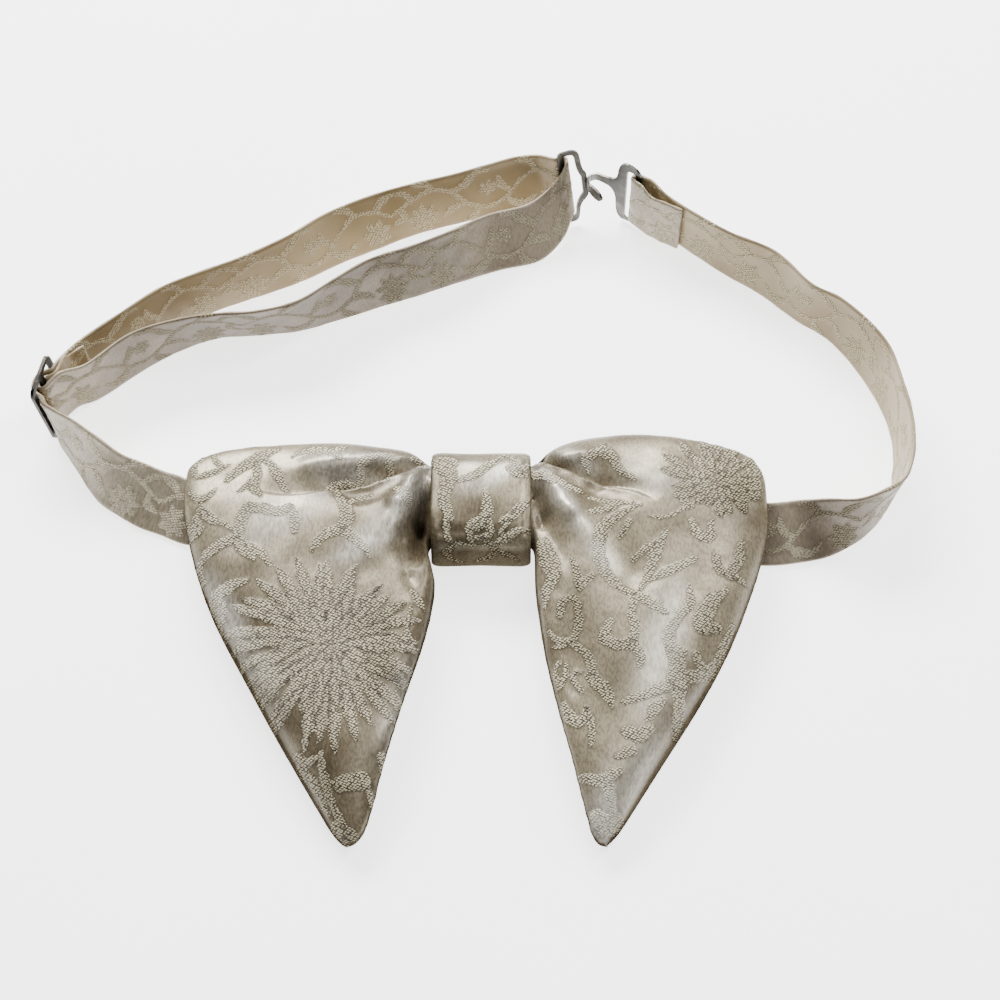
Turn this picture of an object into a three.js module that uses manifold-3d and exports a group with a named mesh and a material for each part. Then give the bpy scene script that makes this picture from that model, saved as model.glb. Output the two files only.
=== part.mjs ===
// Brocade bow tie with a long-pointed padded bow and an adjustable neck strap, lying on a flat surface.
// Millimetres. X runs along the bow, Y from the wearer's chest up to the neck, Z out of the surface.
// The origin is on the flat back of the knot, on the surface that the tie lies on.

import * as THREE from 'three';
import { mergeVertices } from 'three/addons/utils/BufferGeometryUtils.js';
import Module from 'manifold-3d';

// Driving dimensions
const GAP = 0.35;              // clear space kept between pieces that touch
const CLOTH_WALL = 2.0;        // brocade with its wadding, in the wings
const STRAP_WIDTH = 18.2;
const STRAP_THICKNESS = 1.1;
const REST_HEIGHT = 0.05;      // lowest edge of a strap above the surface
const METAL = 0.9;             // sheet thickness of the eye and the hook

const KNOT_LENGTH = 29.0;      // along X
const KNOT_CENTRE_X = 0.3;
const KNOT_CENTRE_Y = 0.2;
const KNOT_HALF_HEIGHT = 16.4; // along Y
const KNOT_DEPTH = 18.0;       // along Z
const KNOT_WALL = 2.2;

const SLIDER_LENGTH = 24.0;    // along its bars
const SLIDER_WIDTH = 15.0;
const SLIDER_BAR = 2.0;
const SLIDER_THICKNESS = 1.0;

const EYE_LENGTH = 23.9;       // along its strap bar
const EYE_REACH = 6.6;         // from the strap bar to the nose
const HOOK_LENGTH = 22.4;      // along its strap bar
const HOOK_REACH = 13.8;       // from the strap bar to the middle of the curl
const BAR_WIDTH = 1.9;

// Small helpers

function clamp01(value) {
  return Math.min(1, Math.max(0, value));
}

function smooth(from, to, value) {
  const share = clamp01((value - from) / (to - from));
  return share * share * (3 - 2 * share);
}

// Rows of a table are smoothed by one curve through three of their columns.
function curveThrough(rows, columns) {
  const points = rows.map((row) => new THREE.Vector3(...columns.map((name) => row[name])));
  return new THREE.CatmullRomCurve3(points, false, 'centripetal');
}

function meshFrom(positions, triangles) {
  const geometry = new THREE.BufferGeometry();
  geometry.setAttribute('position', new THREE.Float32BufferAttribute(positions, 3));
  geometry.setIndex(triangles);
  return geometry;
}

// A closed body from rings of equal length, with a flat cap on each end.
function loftRings(rings) {
  const count = rings[0].length;
  const positions = [];
  const triangles = [];
  for (const ring of rings) {
    for (const point of ring) {
      positions.push(point.x, point.y, point.z);
    }
  }
  for (let i = 0; i + 1 < rings.length; i += 1) {
    for (let k = 0; k < count; k += 1) {
      const here = i * count + k;
      const beside = i * count + ((k + 1) % count);
      triangles.push(here, beside, here + count);
      triangles.push(beside, beside + count, here + count);
    }
  }
  const ends = [
    { first: 0, flip: true },
    { first: (rings.length - 1) * count, flip: false },
  ];
  for (const end of ends) {
    for (let k = 1; k + 1 < count; k += 1) {
      const a = end.first;
      const b = end.first + k;
      const c = end.first + k + 1;
      triangles.push(a, end.flip ? c : b, end.flip ? b : c);
    }
  }
  return meshFrom(positions, triangles);
}

// Neck straps: flat strips swept along the surface, with the width leaning as the rows say

// x, y, z: middle of the strap's thickness at its lower edge. leanX, leanY: how far the upper edge lies from it.
function strapRow(x, y, z, leanX, leanY) {
  const height = Math.sqrt(Math.max(0, STRAP_WIDTH ** 2 - leanX ** 2 - leanY ** 2));
  return { x, y, z, topX: x + leanX, topY: y + leanY, topZ: z + height };
}

// Where the strap passes a metal fitting, its places are measured in the fitting's own plane,
// and its lower edge runs so far below the middle of the bars.
function rowsOnFitting(fitting, below, places) {
  return places.map(({ along, out }) => {
    const foot = fitting.centre.clone()
      .addScaledVector(fitting.along, along)
      .addScaledVector(fitting.out, out)
      .addScaledVector(fitting.axis, -below);
    return strapRow(foot.x, foot.y, foot.z, fitting.axis.x * STRAP_WIDTH, fitting.axis.y * STRAP_WIDTH);
  });
}

function strapGeometry(rows, stepsPerRow) {
  const foot = curveThrough(rows, ['x', 'y', 'z']);
  const top = curveThrough(rows, ['topX', 'topY', 'topZ']);
  const steps = (rows.length - 1) * stepsPerRow;
  const rings = [];
  for (let i = 0; i <= steps; i += 1) {
    const share = i / steps;
    const low = foot.getPoint(share);
    const high = top.getPoint(share);
    const across = high.clone().sub(low).normalize();
    const ahead = foot.getTangent(share).add(top.getTangent(share));
    const side = ahead.cross(across).normalize().multiplyScalar(STRAP_THICKNESS / 2);
    const end = low.clone().addScaledVector(across, STRAP_WIDTH);
    const ring = [low.clone().sub(side), end.clone().sub(side), end.clone().add(side), low.clone().add(side)];
    const sunk = Math.max(0, REST_HEIGHT - Math.min(...ring.map((point) => point.z)));
    ring.forEach((point) => point.setZ(point.z + sunk));
    rings.push(ring);
  }
  return loftRings(rings);
}

// A fitting lies in a plane: along points from its strap bar across it, axis along the bar, out away from the neck.
function fittingFrame(centre, along, axis) {
  const alongUnit = new THREE.Vector3(...along).normalize();
  const axisRaw = new THREE.Vector3(...axis).normalize();
  const axisUnit = axisRaw.addScaledVector(alongUnit, -axisRaw.dot(alongUnit)).normalize();
  const out = new THREE.Vector3().crossVectors(axisUnit, alongUnit);
  return { centre: new THREE.Vector3(...centre), along: alongUnit, axis: axisUnit, out };
}

// How far the strap's lower edge lies below the middle of each bar.
const STRAP_BELOW_SLIDER = 10.1;
const STRAP_BELOW_EYE = 8.1;
const STRAP_BELOW_HOOK = 10.1;
const SLIDER = fittingFrame([-125.0, 35.4, 12.2], [0.226, 0.974, 0], [-0.17, 0.04, 0.984]);
const EYE = fittingFrame([25.2, 110.7, 12.1], [0.957, 0.29, 0], [-0.127, 0.42, 0.898]);
const HOOK = fittingFrame([47.6, 107.1, 12.3], [-0.85, 0.53, -0.07], [0.03, 0.16, 0.98]);
HOOK.out.negate();

// The free strap weaves through the slider, over the sewn end on its middle bar.
const THROUGH_SLIDER = [
  { along: -6.4, out: -1.45 },
  { along: -5.0, out: -1.3 },
  { along: -4.3, out: -0.1 },
  { along: -3.7, out: 1.15 },
  { along: -2.2, out: 2.5 },
  { along: 0, out: 2.95 },
  { along: 2.2, out: 2.5 },
  { along: 3.7, out: 1.15 },
  { along: 4.3, out: -0.1 },
  { along: 5.0, out: -1.3 },
  { along: 6.4, out: -1.45 },
];
// The sewn end comes back to the slider, turns round the middle bar and ends as a short tail.
const ROUND_MIDDLE_BAR = [
  { along: 4.0, out: -4.2 },
  { along: 1.8, out: -2.6 },
  { along: 0, out: -1.65 },
  { along: -1.3, out: -1.2 },
  { along: -1.9, out: 0 },
  { along: -1.3, out: 1.15 },
  { along: 0, out: 1.4 },
  { along: 1.3, out: 1.15 },
  { along: 1.9, out: 0 },
  { along: 2.4, out: -1.15 },
  { along: 3.9, out: -2.6 },
  { along: 6.4, out: -3.1 },
  { along: 9.6, out: -3.5 },
];
const ROUND_EYE_BAR = [
  { along: -1.3, out: 1.45 },
  { along: 0.7, out: 1.4 },
  { along: 1.65, out: 1.0 },
  { along: 1.9, out: 0 },
  { along: 1.7, out: -1.2 },
  { along: 1.2, out: -2.6 },
];
const ROUND_HOOK_BAR = [
  { along: -3.4, out: 1.35 },
  { along: -1.0, out: 1.4 },
  { along: 0.7, out: 1.4 },
  { along: 1.65, out: 1.0 },
  { along: 1.9, out: 0 },
  { along: 1.65, out: -1.0 },
  { along: 0.7, out: -1.5 },
  { along: -0.4, out: -1.8 },
  { along: -2.2, out: -2.3 },
];

const LEFT_STRAP_TO_SLIDER = [
  { x: -0.5, y: -8.9, z: 3.3, leanX: 0, leanY: 18.2 },
  { x: -13.0, y: -8.9, z: 3.3, leanX: 0, leanY: 18.2 },
  { x: -22.0, y: -8.5, z: 1.4, leanX: 0, leanY: 18.2 },
  { x: -32.0, y: -8.3, z: 0.6, leanX: 0, leanY: 18.2 },
  { x: -46.0, y: -7.9, z: 0.6, leanX: 0, leanY: 18.15 },
  { x: -60.0, y: -7.6, z: 0.6, leanX: 0.4, leanY: 18.0 },
  { x: -72.0, y: -7.6, z: 0.6, leanX: 1.8, leanY: 17.0 },
  { x: -84.2, y: -7.5, z: 0.5, leanX: 4.2, leanY: 15.0 },
  { x: -92.2, y: -4.2, z: 0.5, leanX: 5.9, leanY: 15.0 },
  { x: -98.1, y: -1.9, z: 0.5, leanX: 7.0, leanY: 13.6 },
  { x: -104.1, y: 1.8, z: 0.5, leanX: 7.6, leanY: 11.2 },
  { x: -110.2, y: 6.5, z: 0.4, leanX: 7.4, leanY: 8.2 },
  { x: -115.9, y: 15.0, z: 0.3, leanX: 5.4, leanY: 4.6 },
  { x: -119.8, y: 21.2, z: 0.5, leanX: 3.0, leanY: 2.6 },
  { x: -122.5, y: 25.6, z: 1.2, leanX: -0.4, leanY: 1.4 },
];
const FAR_LAYER = [
  { x: -114.8, y: 48.5, z: 0.8, leanX: -2.4, leanY: 2.4 },
  { x: -103.8, y: 58.6, z: 0.3, leanX: -2.0, leanY: 2.5 },
  { x: -92.9, y: 67.3, z: 0.3, leanX: -1.8, leanY: 2.7 },
  { x: -81.9, y: 72.7, z: 0.3, leanX: -1.3, leanY: 3.1 },
  { x: -70.0, y: 77.7, z: 0.3, leanX: -1.3, leanY: 3.4 },
  { x: -55.1, y: 83.9, z: 0.3, leanX: -2.7, leanY: 5.5 },
  { x: -43.1, y: 90.6, z: 0.3, leanX: -4.0, leanY: 7.6 },
  { x: -31.0, y: 96.5, z: 0.3, leanX: -4.0, leanY: 8.0 },
  { x: -18.9, y: 102.1, z: 0.3, leanX: -2.6, leanY: 6.6 },
  { x: -6.6, y: 105.9, z: 0.4, leanX: -1.9, leanY: 6.3 },
  { x: 5.0, y: 109.2, z: 0.8, leanX: -1.9, leanY: 7.0 },
  { x: 13.0, y: 110.8, z: 1.4, leanX: -2.2, leanY: 7.8 },
  { x: 19.6, y: 110.4, z: 2.4, leanX: -2.3, leanY: 8.2 },
];
const FRONT_LAYER = [
  { x: 25.8, y: 100.4, z: 2.0, leanX: -2.6, leanY: 11.0 },
  { x: 18.6, y: 92.2, z: 0.4, leanX: -3.4, leanY: 12.9 },
  { x: 5.7, y: 88.3, z: 0.3, leanX: -3.1, leanY: 11.6 },
  { x: -6.5, y: 83.9, z: 0.3, leanX: -2.7, leanY: 8.0 },
  { x: -18.5, y: 79.2, z: 0.3, leanX: -2.3, leanY: 6.8 },
  { x: -30.6, y: 74.8, z: 0.3, leanX: -2.3, leanY: 6.4 },
  { x: -42.5, y: 70.4, z: 0.3, leanX: -1.0, leanY: 2.5 },
  { x: -54.4, y: 66.5, z: 0.3, leanX: 0.4, leanY: -1.5 },
  { x: -66.4, y: 65.0, z: 0.3, leanX: 0.2, leanY: -3.5 },
  { x: -78.3, y: 64.0, z: 0.3, leanX: 0.6, leanY: -3.4 },
  { x: -90.1, y: 59.3, z: 0.3, leanX: 0.6, leanY: -0.9 },
  { x: -101.6, y: 51.5, z: 0.3, leanX: -1.2, leanY: 1.9 },
  { x: -112.8, y: 42.4, z: 0.3, leanX: -2.2, leanY: 0.4 },
];
const SEWN_TAIL = [
  { x: -117.6, y: 43.9, z: 1.0, leanX: -2.6, leanY: 1.8 },
  { x: -113.4, y: 47.2, z: 0.7, leanX: -2.4, leanY: 2.2 },
];
const RIGHT_STRAP = [
  { x: 1.1, y: -8.9, z: 3.3, leanX: 0, leanY: 18.2 },
  { x: 13.6, y: -8.9, z: 3.3, leanX: 0, leanY: 18.2 },
  { x: 22.0, y: -8.9, z: 1.4, leanX: 0, leanY: 18.2 },
  { x: 32.0, y: -9.3, z: 0.6, leanX: 0, leanY: 18.2 },
  { x: 46.0, y: -10.2, z: 0.6, leanX: 0, leanY: 18.15 },
  { x: 60.0, y: -11.7, z: 0.6, leanX: 0, leanY: 18.0 },
  { x: 71.0, y: -13.2, z: 0.6, leanX: -0.2, leanY: 17.0 },
  { x: 82.3, y: -14.3, z: 0.5, leanX: -0.7, leanY: 15.8 },
  { x: 91.6, y: -13.3, z: 0.5, leanX: -2.0, leanY: 15.0 },
  { x: 100.3, y: -11.1, z: 0.4, leanX: -4.4, leanY: 11.4 },
  { x: 109.2, y: -5.5, z: 0.3, leanX: -2.6, leanY: 3.4 },
  { x: 114.8, y: 0.8, z: 0.3, leanX: 0.4, leanY: 0 },
  { x: 118.6, y: 7.5, z: 0.3, leanX: 2.4, leanY: -2.4 },
  { x: 120.2, y: 15.0, z: 0.3, leanX: 3.6, leanY: -2.2 },
  { x: 120.9, y: 22.0, z: 0.3, leanX: 3.7, leanY: -1.0 },
  { x: 120.8, y: 28.1, z: 0.3, leanX: 3.4, leanY: 0 },
  { x: 119.5, y: 35.0, z: 0.3, leanX: 3.3, leanY: 0.8 },
  { x: 113.7, y: 49.0, z: 0.3, leanX: 5.1, leanY: 2.6 },
  { x: 104.1, y: 63.2, z: 0.3, leanX: 2.7, leanY: 2.8 },
  { x: 96.0, y: 69.2, z: 0.3, leanX: 2.2, leanY: 2.0 },
  { x: 84.5, y: 79.5, z: 0.3, leanX: 3.2, leanY: 4.1 },
  { x: 72.7, y: 88.0, z: 0.3, leanX: 2.0, leanY: 1.8 },
  { x: 61.6, y: 97.3, z: 0.3, leanX: 0.8, leanY: 0.9 },
  { x: 55.2, y: 102.3, z: 0.5, leanX: 0.8, leanY: 1.2 },
];
const SEWN_FLAP = [
  { x: 50.6, y: 101.7, z: 0.8, leanX: 0.6, leanY: 0.8 },
  { x: 54.2, y: 99.6, z: 0.3, leanX: 0.6, leanY: 1.4 },
  { x: 60.0, y: 96.6, z: 0.3, leanX: 0.6, leanY: 1.4 },
];

function rowsFromTable(table) {
  return table.map((row) => strapRow(row.x, row.y, row.z, row.leanX, row.leanY));
}

const leftStrapRows = [
  ...rowsFromTable(LEFT_STRAP_TO_SLIDER),
  ...rowsOnFitting(SLIDER, STRAP_BELOW_SLIDER, THROUGH_SLIDER),
  ...rowsFromTable(FAR_LAYER),
  ...rowsOnFitting(EYE, STRAP_BELOW_EYE, ROUND_EYE_BAR),
  ...rowsFromTable(FRONT_LAYER),
  ...rowsOnFitting(SLIDER, STRAP_BELOW_SLIDER, ROUND_MIDDLE_BAR),
  ...rowsFromTable(SEWN_TAIL),
];
const rightStrapRows = [
  ...rowsFromTable(RIGHT_STRAP),
  ...rowsOnFitting(HOOK, STRAP_BELOW_HOOK, ROUND_HOOK_BAR),
  ...rowsFromTable(SEWN_FLAP),
];

// Wings: hollow pouches open at the throat, lofted through sections that fan out from the knot

// upX, upY: the section's end on the top and outer edge. lowX, lowY: its end on the lower and inner edge.
// mid: height of the edge. front, back: how far the pouch swells in front of it and behind it.
const LEFT_WING = [
  { upX: -0.2, upY: 13.9, lowX: -0.2, lowY: -12.2, mid: 9.8, front: 5.5, back: 5.5 },
  { upX: -8.0, upY: 13.9, lowX: -8.0, lowY: -12.2, mid: 9.8, front: 5.5, back: 5.5 },
  { upX: -14.4, upY: 13.9, lowX: -14.2, lowY: -12.9, mid: 9.8, front: 5.6, back: 5.5 },
  { upX: -18.0, upY: 16.9, lowX: -14.6, lowY: -17.4, mid: 9.7, front: 6.8, back: 7.0 },
  { upX: -25.0, upY: 18.8, lowX: -12.4, lowY: -24.5, mid: 9.8, front: 8.0, back: 8.5 },
  { upX: -38.0, upY: 20.4, lowX: -13.6, lowY: -37.0, mid: 10.2, front: 8.4, back: 9.5 },
  { upX: -54.0, upY: 20.3, lowX: -17.0, lowY: -51.0, mid: 10.8, front: 8.2, back: 10.2 },
  { upX: -68.0, upY: 18.6, lowX: -20.0, lowY: -61.0, mid: 11.2, front: 7.6, back: 10.6 },
  { upX: -79.5, upY: 16.0, lowX: -22.0, lowY: -68.5, mid: 11.4, front: 7.2, back: 10.6 },
  { upX: -84.0, upY: 12.2, lowX: -23.6, lowY: -74.5, mid: 11.4, front: 7.2, back: 10.6 },
  { upX: -85.2, upY: 5.0, lowX: -25.0, lowY: -80.0, mid: 11.0, front: 7.4, back: 10.4 },
  { upX: -84.0, upY: -6.0, lowX: -26.2, lowY: -84.5, mid: 10.0, front: 7.8, back: 9.6 },
  { upX: -80.6, upY: -20.0, lowX: -27.2, lowY: -88.5, mid: 8.6, front: 8.2, back: 8.4 },
  { upX: -74.6, upY: -36.0, lowX: -28.2, lowY: -92.2, mid: 7.6, front: 8.0, back: 7.4 },
  { upX: -66.8, upY: -50.8, lowX: -29.0, lowY: -95.2, mid: 7.0, front: 7.4, back: 6.8 },
  { upX: -58.6, upY: -66.0, lowX: -29.8, lowY: -97.6, mid: 6.2, front: 6.4, back: 6.0 },
  { upX: -51.8, upY: -78.0, lowX: -30.6, lowY: -99.4, mid: 5.4, front: 5.2, back: 5.3 },
  { upX: -45.4, upY: -89.0, lowX: -31.8, lowY: -100.8, mid: 4.6, front: 4.0, back: 4.5 },
  { upX: -40.4, upY: -97.4, lowX: -33.4, lowY: -101.8, mid: 4.0, front: 2.9, back: 3.9 },
];
const LEFT_TIP = { x: -36.2, y: -102.8, z: 3.2 };

const RIGHT_WING = [
  { upX: 0.8, upY: 13.9, lowX: 0.8, lowY: -12.2, mid: 9.8, front: 5.5, back: 5.5 },
  { upX: 8.6, upY: 13.9, lowX: 8.6, lowY: -12.2, mid: 9.8, front: 5.5, back: 5.5 },
  { upX: 15.0, upY: 13.9, lowX: 14.8, lowY: -12.9, mid: 9.8, front: 5.6, back: 5.5 },
  { upX: 18.6, upY: 17.2, lowX: 15.4, lowY: -17.6, mid: 9.7, front: 6.8, back: 7.0 },
  { upX: 24.0, upY: 20.5, lowX: 15.4, lowY: -26.0, mid: 9.8, front: 7.8, back: 8.5 },
  { upX: 34.5, upY: 23.0, lowX: 16.6, lowY: -38.0, mid: 10.2, front: 8.4, back: 9.5 },
  { upX: 47.0, upY: 23.6, lowX: 18.2, lowY: -50.0, mid: 10.8, front: 8.2, back: 10.2 },
  { upX: 60.0, upY: 21.8, lowX: 20.2, lowY: -60.0, mid: 11.2, front: 7.8, back: 10.6 },
  { upX: 71.5, upY: 19.0, lowX: 22.0, lowY: -68.0, mid: 11.4, front: 7.4, back: 10.6 },
  { upX: 79.0, upY: 14.8, lowX: 23.6, lowY: -74.5, mid: 11.4, front: 7.2, back: 10.6 },
  { upX: 82.2, upY: 7.5, lowX: 25.0, lowY: -80.0, mid: 11.0, front: 7.4, back: 10.4 },
  { upX: 82.8, upY: -2.0, lowX: 26.0, lowY: -84.5, mid: 10.2, front: 7.6, back: 9.8 },
  { upX: 81.0, upY: -14.0, lowX: 27.0, lowY: -88.5, mid: 9.0, front: 8.0, back: 8.8 },
  { upX: 76.2, upY: -29.0, lowX: 28.0, lowY: -92.2, mid: 7.8, front: 8.0, back: 7.6 },
  { upX: 70.0, upY: -44.5, lowX: 28.8, lowY: -95.2, mid: 7.0, front: 7.4, back: 6.8 },
  { upX: 61.8, upY: -60.0, lowX: 29.4, lowY: -97.6, mid: 6.2, front: 6.4, back: 6.0 },
  { upX: 53.0, upY: -74.2, lowX: 30.0, lowY: -99.4, mid: 5.4, front: 5.2, back: 5.3 },
  { upX: 45.4, upY: -86.4, lowX: 30.8, lowY: -100.8, mid: 4.6, front: 4.0, back: 4.5 },
  { upX: 38.8, upY: -97.0, lowX: 31.8, lowY: -101.8, mid: 4.0, front: 2.9, back: 3.9 },
];
const RIGHT_TIP = { x: 34.4, y: -102.6, z: 3.2 };

// Valleys pressed into the front of a wing, and ridges where depth is below nought.
const LEFT_FOLDS = [
  { fromX: -15.0, fromY: 12.0, toX: -37.0, toY: 2.8, depth: 4.6, width: 3.4, fade: 0.1 },
  { fromX: -37.0, fromY: 2.8, toX: -68.0, toY: 0.6, depth: 2.6, width: 4.2, fade: 0.9 },
  { fromX: -15.5, fromY: 9.0, toX: -26.0, toY: -15.0, depth: -1.2, width: 4.0, fade: 0.8 },
  { fromX: -15.5, fromY: -1.0, toX: -18.5, toY: -24.0, depth: 3.4, width: 3.2, fade: 0.7 },
  { fromX: -23.0, fromY: -18.0, toX: -17.5, toY: -36.0, depth: 1.4, width: 2.6, fade: 0.9 },
  { fromX: -24.0, fromY: 12.0, toX: -50.0, toY: 9.4, depth: -1.0, width: 4.5, fade: 0.9 },
];
const RIGHT_FOLDS = [
  { fromX: 15.5, fromY: 13.5, toX: 34.0, toY: 4.6, depth: 4.4, width: 3.2, fade: 0.1 },
  { fromX: 34.0, fromY: 4.6, toX: 48.0, toY: -3.0, depth: 2.6, width: 3.8, fade: 0.9 },
  { fromX: 17.5, fromY: 4.0, toX: 31.0, toY: -15.0, depth: -1.2, width: 4.0, fade: 0.8 },
  { fromX: 15.8, fromY: 1.0, toX: 22.5, toY: -20.0, depth: 2.6, width: 2.6, fade: 0.7 },
  { fromX: 19.0, fromY: 12.5, toX: 42.0, toY: 13.0, depth: -1.0, width: 4.0, fade: 0.9 },
];

// How deep the folds press the front in at one place.
function foldDepth(folds, x, y) {
  let depth = 0;
  for (const fold of folds) {
    const runX = fold.toX - fold.fromX;
    const runY = fold.toY - fold.fromY;
    const share = clamp01(((x - fold.fromX) * runX + (y - fold.fromY) * runY) / (runX ** 2 + runY ** 2));
    const away = Math.hypot(x - fold.fromX - share * runX, y - fold.fromY - share * runY);
    depth += fold.depth * (1 - fold.fade * smooth(0.2, 1, share)) * Math.exp(-((away / fold.width) ** 2));
  }
  return depth;
}

// Height of the strap's upper face below the wings, where it tilts up towards its outer end.
const STRAP_UNDER_LEFT = { foot: -7.8, footDrift: 0.3 };
const STRAP_UNDER_RIGHT = { foot: -8.9, footDrift: -5.4 };
const STRAP_TILT = THREE.MathUtils.degToRad(30);

function strapTopHeight(side, x, y) {
  const outward = Math.abs(x);
  const raised = 2.5 * (1 - smooth(14, 31, outward));
  const tilt = STRAP_TILT * smooth(34, 77, outward);
  const foot = side.foot + side.footDrift * smooth(20, 82, outward);
  const across = y - foot;
  const reach = STRAP_WIDTH * Math.cos(tilt);
  const beside = smooth(-9, -2, across) * (1 - smooth(reach + 3, reach + 12, across));
  const margin = 2 * GAP + 0.9 * smooth(60, 80, outward);
  const face = raised + STRAP_THICKNESS + margin + Math.tan(tilt) * Math.min(reach, Math.max(0, across));
  return face * beside;
}

const ROUND_EDGE = 0.46;   // power of the pillow-shaped section
const AROUND = 32;         // points round a section
const SECTIONS_PER_ROW = 2;

function wingSection(row, folds, strapSide, inset) {
  const chord = Math.hypot(row.lowX - row.upX, row.lowY - row.upY);
  const half = AROUND / 2;
  const ring = [];
  for (let k = 0; k < AROUND; k += 1) {
    const isFront = k <= half;
    const turn = Math.PI * (isFront ? k : AROUND - k) / half;
    const spaced = (1 - Math.cos(turn)) / 2;
    const share = (inset + spaced * (chord - 2 * inset)) / chord;
    const x = row.upX + share * (row.lowX - row.upX);
    const y = row.upY + share * (row.lowY - row.upY);
    const swell = (4 * share * (1 - share)) ** ROUND_EDGE;
    const open = Math.min(1, 3.2 * spaced * (1 - spaced) / 0.16);
    const top = row.mid + row.front * swell - foldDepth(folds, x, y) * Math.min(1, swell * 1.2);
    const free = row.mid - row.back * swell;
    const edgeFloor = Math.min(row.mid - 0.15 * swell, strapTopHeight(strapSide, x, y));
    const low = Math.max(0, free, swell > 0 ? edgeFloor : free);
    const middle = (top + low) / 2;
    const thick = Math.max(0.16, (top - low) / 2 - inset) * (inset > 0 ? Math.min(1, open) : 1);
    const z = inset > 0 ? middle + (isFront ? thick : -thick) : (isFront ? top : low);
    ring.push(new THREE.Vector3(x, y, z));
  }
  return ring;
}

function wingRows(table) {
  const up = curveThrough(table, ['upX', 'upY', 'mid']);
  const low = curveThrough(table, ['lowX', 'lowY', 'mid']);
  const swell = curveThrough(table, ['front', 'back', 'mid']);
  const count = (table.length - 1) * SECTIONS_PER_ROW;
  const rows = [];
  for (let i = 0; i <= count; i += 1) {
    const upPoint = up.getPoint(i / count);
    const lowPoint = low.getPoint(i / count);
    const size = swell.getPoint(i / count);
    rows.push({
      upX: upPoint.x, upY: upPoint.y, lowX: lowPoint.x, lowY: lowPoint.y,
      mid: (upPoint.z + lowPoint.z) / 2, front: size.x, back: size.y,
    });
  }
  return rows;
}

// The outer skin and the inner skin meet in a rim at the throat, and each closes on a tip of its own.
function wingGeometry(table, tip, folds, strapSide, mirrored) {
  const rows = wingRows(table);
  const outer = rows.map((row) => wingSection(row, folds, strapSide, 0));
  const innerRows = rows.filter((row, i) => i % 2 === 0 && i <= rows.length - 6);
  const inner = innerRows.map((row) => wingSection(row, folds, strapSide, CLOTH_WALL));
  const positions = [];
  const triangles = [];
  const face = (a, b, c) => triangles.push(a, mirrored ? b : c, mirrored ? c : b);
  const addSkin = (rings, end, turned) => {
    const first = positions.length / 3;
    for (const ring of rings) {
      for (const point of ring) {
        positions.push(point.x, point.y, point.z);
      }
    }
    positions.push(end.x, end.y, end.z);
    const last = first + rings.length * AROUND;
    for (let i = 0; i < rings.length; i += 1) {
      for (let k = 0; k < AROUND; k += 1) {
        const here = first + i * AROUND + k;
        const beside = first + i * AROUND + ((k + 1) % AROUND);
        if (i + 1 === rings.length) {
          face(here, turned ? last : beside, turned ? beside : last);
        } else {
          face(here, turned ? here + AROUND : beside, turned ? beside : here + AROUND);
          face(beside, turned ? here + AROUND : beside + AROUND, turned ? beside + AROUND : here + AROUND);
        }
      }
    }
    return first;
  };
  const innerLast = inner[inner.length - 1];
  const innerTip = innerLast.reduce((sum, point) => sum.add(point), new THREE.Vector3()).divideScalar(AROUND);
  innerTip.lerp(new THREE.Vector3(tip.x, tip.y, tip.z), 0.3);
  const outerFirst = addSkin(outer, tip, false);
  const innerFirst = addSkin(inner, innerTip, true);
  for (let k = 0; k < AROUND; k += 1) {
    const next = (k + 1) % AROUND;
    face(outerFirst + next, outerFirst + k, innerFirst + next);
    face(outerFirst + k, innerFirst + k, innerFirst + next);
  }
  return meshFrom(positions, triangles);
}

// Knot: a band closed round the throats, flat behind and crowned in front

const KNOT_AROUND = 40;
const KNOT_SQUARENESS = { front: 2.7, back: 5 };
// along: share of the length from the middle. shrink: how far the outer face draws in. flare: how far the inner opens.
const KNOT_SECTIONS = [
  { along: -1.0, shrink: 1.0, flare: 0.5 },
  { along: -0.95, shrink: 0.35, flare: 0.2 },
  { along: -0.82, shrink: 0.0, flare: 0.0 },
  { along: 0.0, shrink: 0.25, flare: 0.0 },
  { along: 0.82, shrink: 0.0, flare: 0.0 },
  { along: 0.95, shrink: 0.35, flare: 0.2 },
  { along: 1.0, shrink: 1.0, flare: 0.5 },
];

function knotRing(x, halfHeight, halfDepth, flattened) {
  const ring = [];
  for (let k = 0; k < KNOT_AROUND; k += 1) {
    const turn = 2 * Math.PI * (k + 0.5) / KNOT_AROUND;
    const cos = Math.cos(turn);
    const sin = Math.sin(turn);
    const power = 2 / (sin < 0 ? KNOT_SQUARENESS.back : KNOT_SQUARENESS.front);
    const y = KNOT_CENTRE_Y + halfHeight * Math.sign(cos) * Math.abs(cos) ** power;
    const z = KNOT_DEPTH / 2 + halfDepth * Math.sign(sin) * Math.abs(sin) ** power;
    ring.push(new THREE.Vector3(x, y, flattened ? Math.max(0, z) : z));
  }
  return ring;
}

function knotGeometry() {
  const outer = [];
  const inner = [];
  for (const row of KNOT_SECTIONS) {
    const x = KNOT_CENTRE_X + row.along * KNOT_LENGTH / 2;
    const bulge = 0.5;
    outer.push(knotRing(x, KNOT_HALF_HEIGHT - row.shrink, KNOT_DEPTH / 2 + bulge - row.shrink, true));
    inner.push(knotRing(x, KNOT_HALF_HEIGHT - KNOT_WALL + row.flare, KNOT_DEPTH / 2 - KNOT_WALL + row.flare, false));
  }
  const loop = [...outer, ...inner.reverse()];
  const positions = [];
  const triangles = [];
  for (const ring of loop) {
    for (const point of ring) {
      positions.push(point.x, point.y, point.z);
    }
  }
  for (let i = 0; i < loop.length; i += 1) {
    const from = i * KNOT_AROUND;
    const to = ((i + 1) % loop.length) * KNOT_AROUND;
    for (let k = 0; k < KNOT_AROUND; k += 1) {
      const next = (k + 1) % KNOT_AROUND;
      triangles.push(from + k, from + next, to + k);
      triangles.push(from + next, to + next, to + k);
    }
  }
  return meshFrom(positions, triangles);
}

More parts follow.
